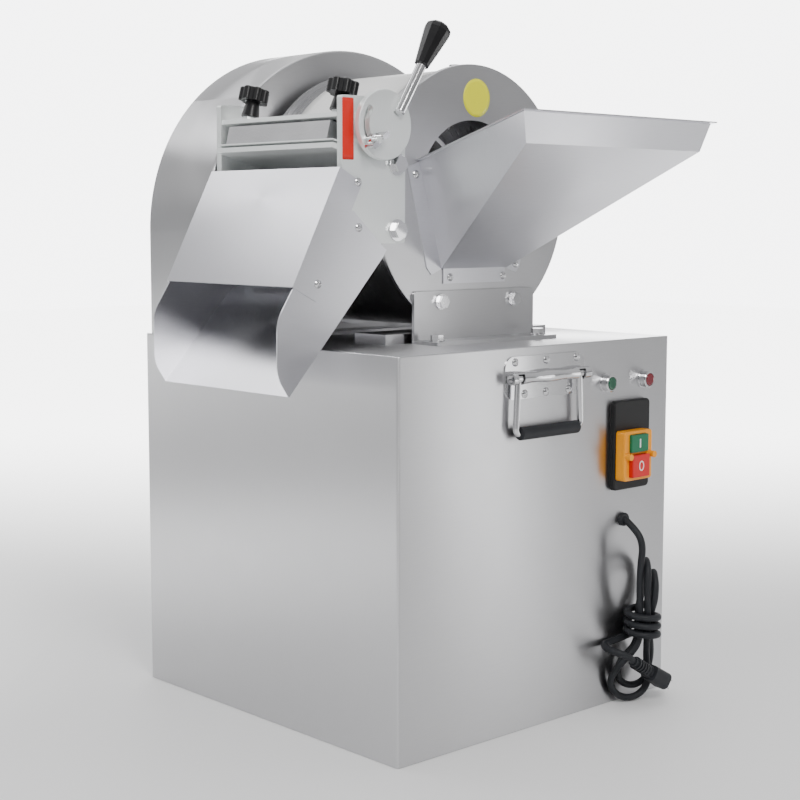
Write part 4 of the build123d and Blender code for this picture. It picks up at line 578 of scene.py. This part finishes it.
floorLook = {
    "dark": (0.86, 0.86, 0.86), "light": (0.9, 0.9, 0.9), "cloudScale": 1.2, "rough": 0.7, "half": 8,
    "level": -0.0005, "glow": 5.0, "awayAxis": (0.68, 0.73, 0), "sweep": (0.2, 2.6),
    "paintedLightPools": [                                 # place, reach and level of each painted pool of light that the walls mirror
        ((-0.85, 0.95, 0), 0.9, 0.3),
        ((0.85, -1.15, 0), 0.6, 0.16),
    ],
}


def floorShader(look):
    # the painted glow rises smoothly along the away axis, and inside each painted pool of light towards its
    # middle
    finish = newFinish("paleFloorPaintedGlow")
    place = finish.objectPoint()
    away = finish.out("VectorMath", {"operation": "DOT_PRODUCT"}, {0: place, 1: look["awayAxis"]}, "Value")
    glow = finish.out("MapRange", {"interpolation_type": "SMOOTHSTEP"},
                      {0: away, 1: look["sweep"][0], 2: look["sweep"][1], 3: 0.0, 4: 1.0})
    for middle, reach, level in look["paintedLightPools"]:
        far = finish.out("VectorMath", {"operation": "DISTANCE"}, {0: place, 1: middle}, "Value")
        glow = glow + finish.out("MapRange", {"interpolation_type": "SMOOTHSTEP"},
                                 {0: far, 1: reach, 2: 0.0, 3: 0.0, 4: level})
    clouds = finish.noise("floorClouds", place, look["cloudScale"])
    # the floor's emission is painted light: the floor glows though it is no lamp
    return finish.shade("BsdfPrincipled", {
        "Base Color": finish.blendTint(clouds, look["dark"], look["light"]), "Roughness": look["rough"],
        "Emission Strength": look["glow"], "Emission Color": finish.blendTint(glow, (0, 0, 0), (1, 1, 1)),
    })


half = floorLook["half"]
floorMesh = bpy.data.meshes.new("studioFloor")
floorMesh.from_pydata([(-half, -half, 0), (half, -half, 0), (half, half, 0), (-half, half, 0)], [],
                      [(0, 1, 2, 3)])
floorMesh.materials.append(floorShader(floorLook))
studioFloor = bpy.data.objects.new("studioFloor", floorMesh)
studioFloor.location.z = floorLook["level"]
bpy.context.collection.objects.link(studioFloor)


# the room round it: white ahead of the camera, grey at the sides, dark behind it

roomLook = {
    "strength": 6.0, "blueShare": 1.01,
    "parts": [                                 # axis, and level from away from the axis (0) to along it (1)
        ((0.675, 0.729, -0.114), [(0.0, 0.012), (0.25, 0.022), (0.4, 0.045), (0.5, 0.06), (0.62, 0.055),
                                  (0.8, 0.06), (0.955, 0.08), (0.968, 1.0)]),
        ((0, 0, 1), [(0.0, 0.0), (0.54, 0.0), (0.64, 0.05), (0.85, 0.07), (1.0, 0.05)]),
        ((-0.96, -0.15, 0.24), [(0.0, 0.0), (0.92, 0.0), (0.97, 0.12), (1.0, 0.14)]),
    ],
}


def roomWorld(look):
    # the sum of three ramps, each by how far a direction agrees with an axis
    room = Finish(bpy.data.worlds.new("studioWorld"), "OutputWorld")
    toward = room.out("TexCoord", output="Generated")
    total = (0, 0, 0)
    for axis, levels in look["parts"]:
        along = room.out("VectorMath", {"operation": "DOT_PRODUCT"}, {0: toward, 1: axis}, "Value")
        stops = [(place, (level, level, level * look["blueShare"])) for place, level in levels]
        part = room.out("ValToRGB", {"stops": stops}, {0: along * 0.5 + 0.5})
        total = room.out("VectorMath", {"operation": "ADD"}, {0: total, 1: part})
    return room.shade("Background", {"Color": total, "Strength": look["strength"]})


bpy.context.scene.world = roomWorld(roomLook)


print("stage: finish")
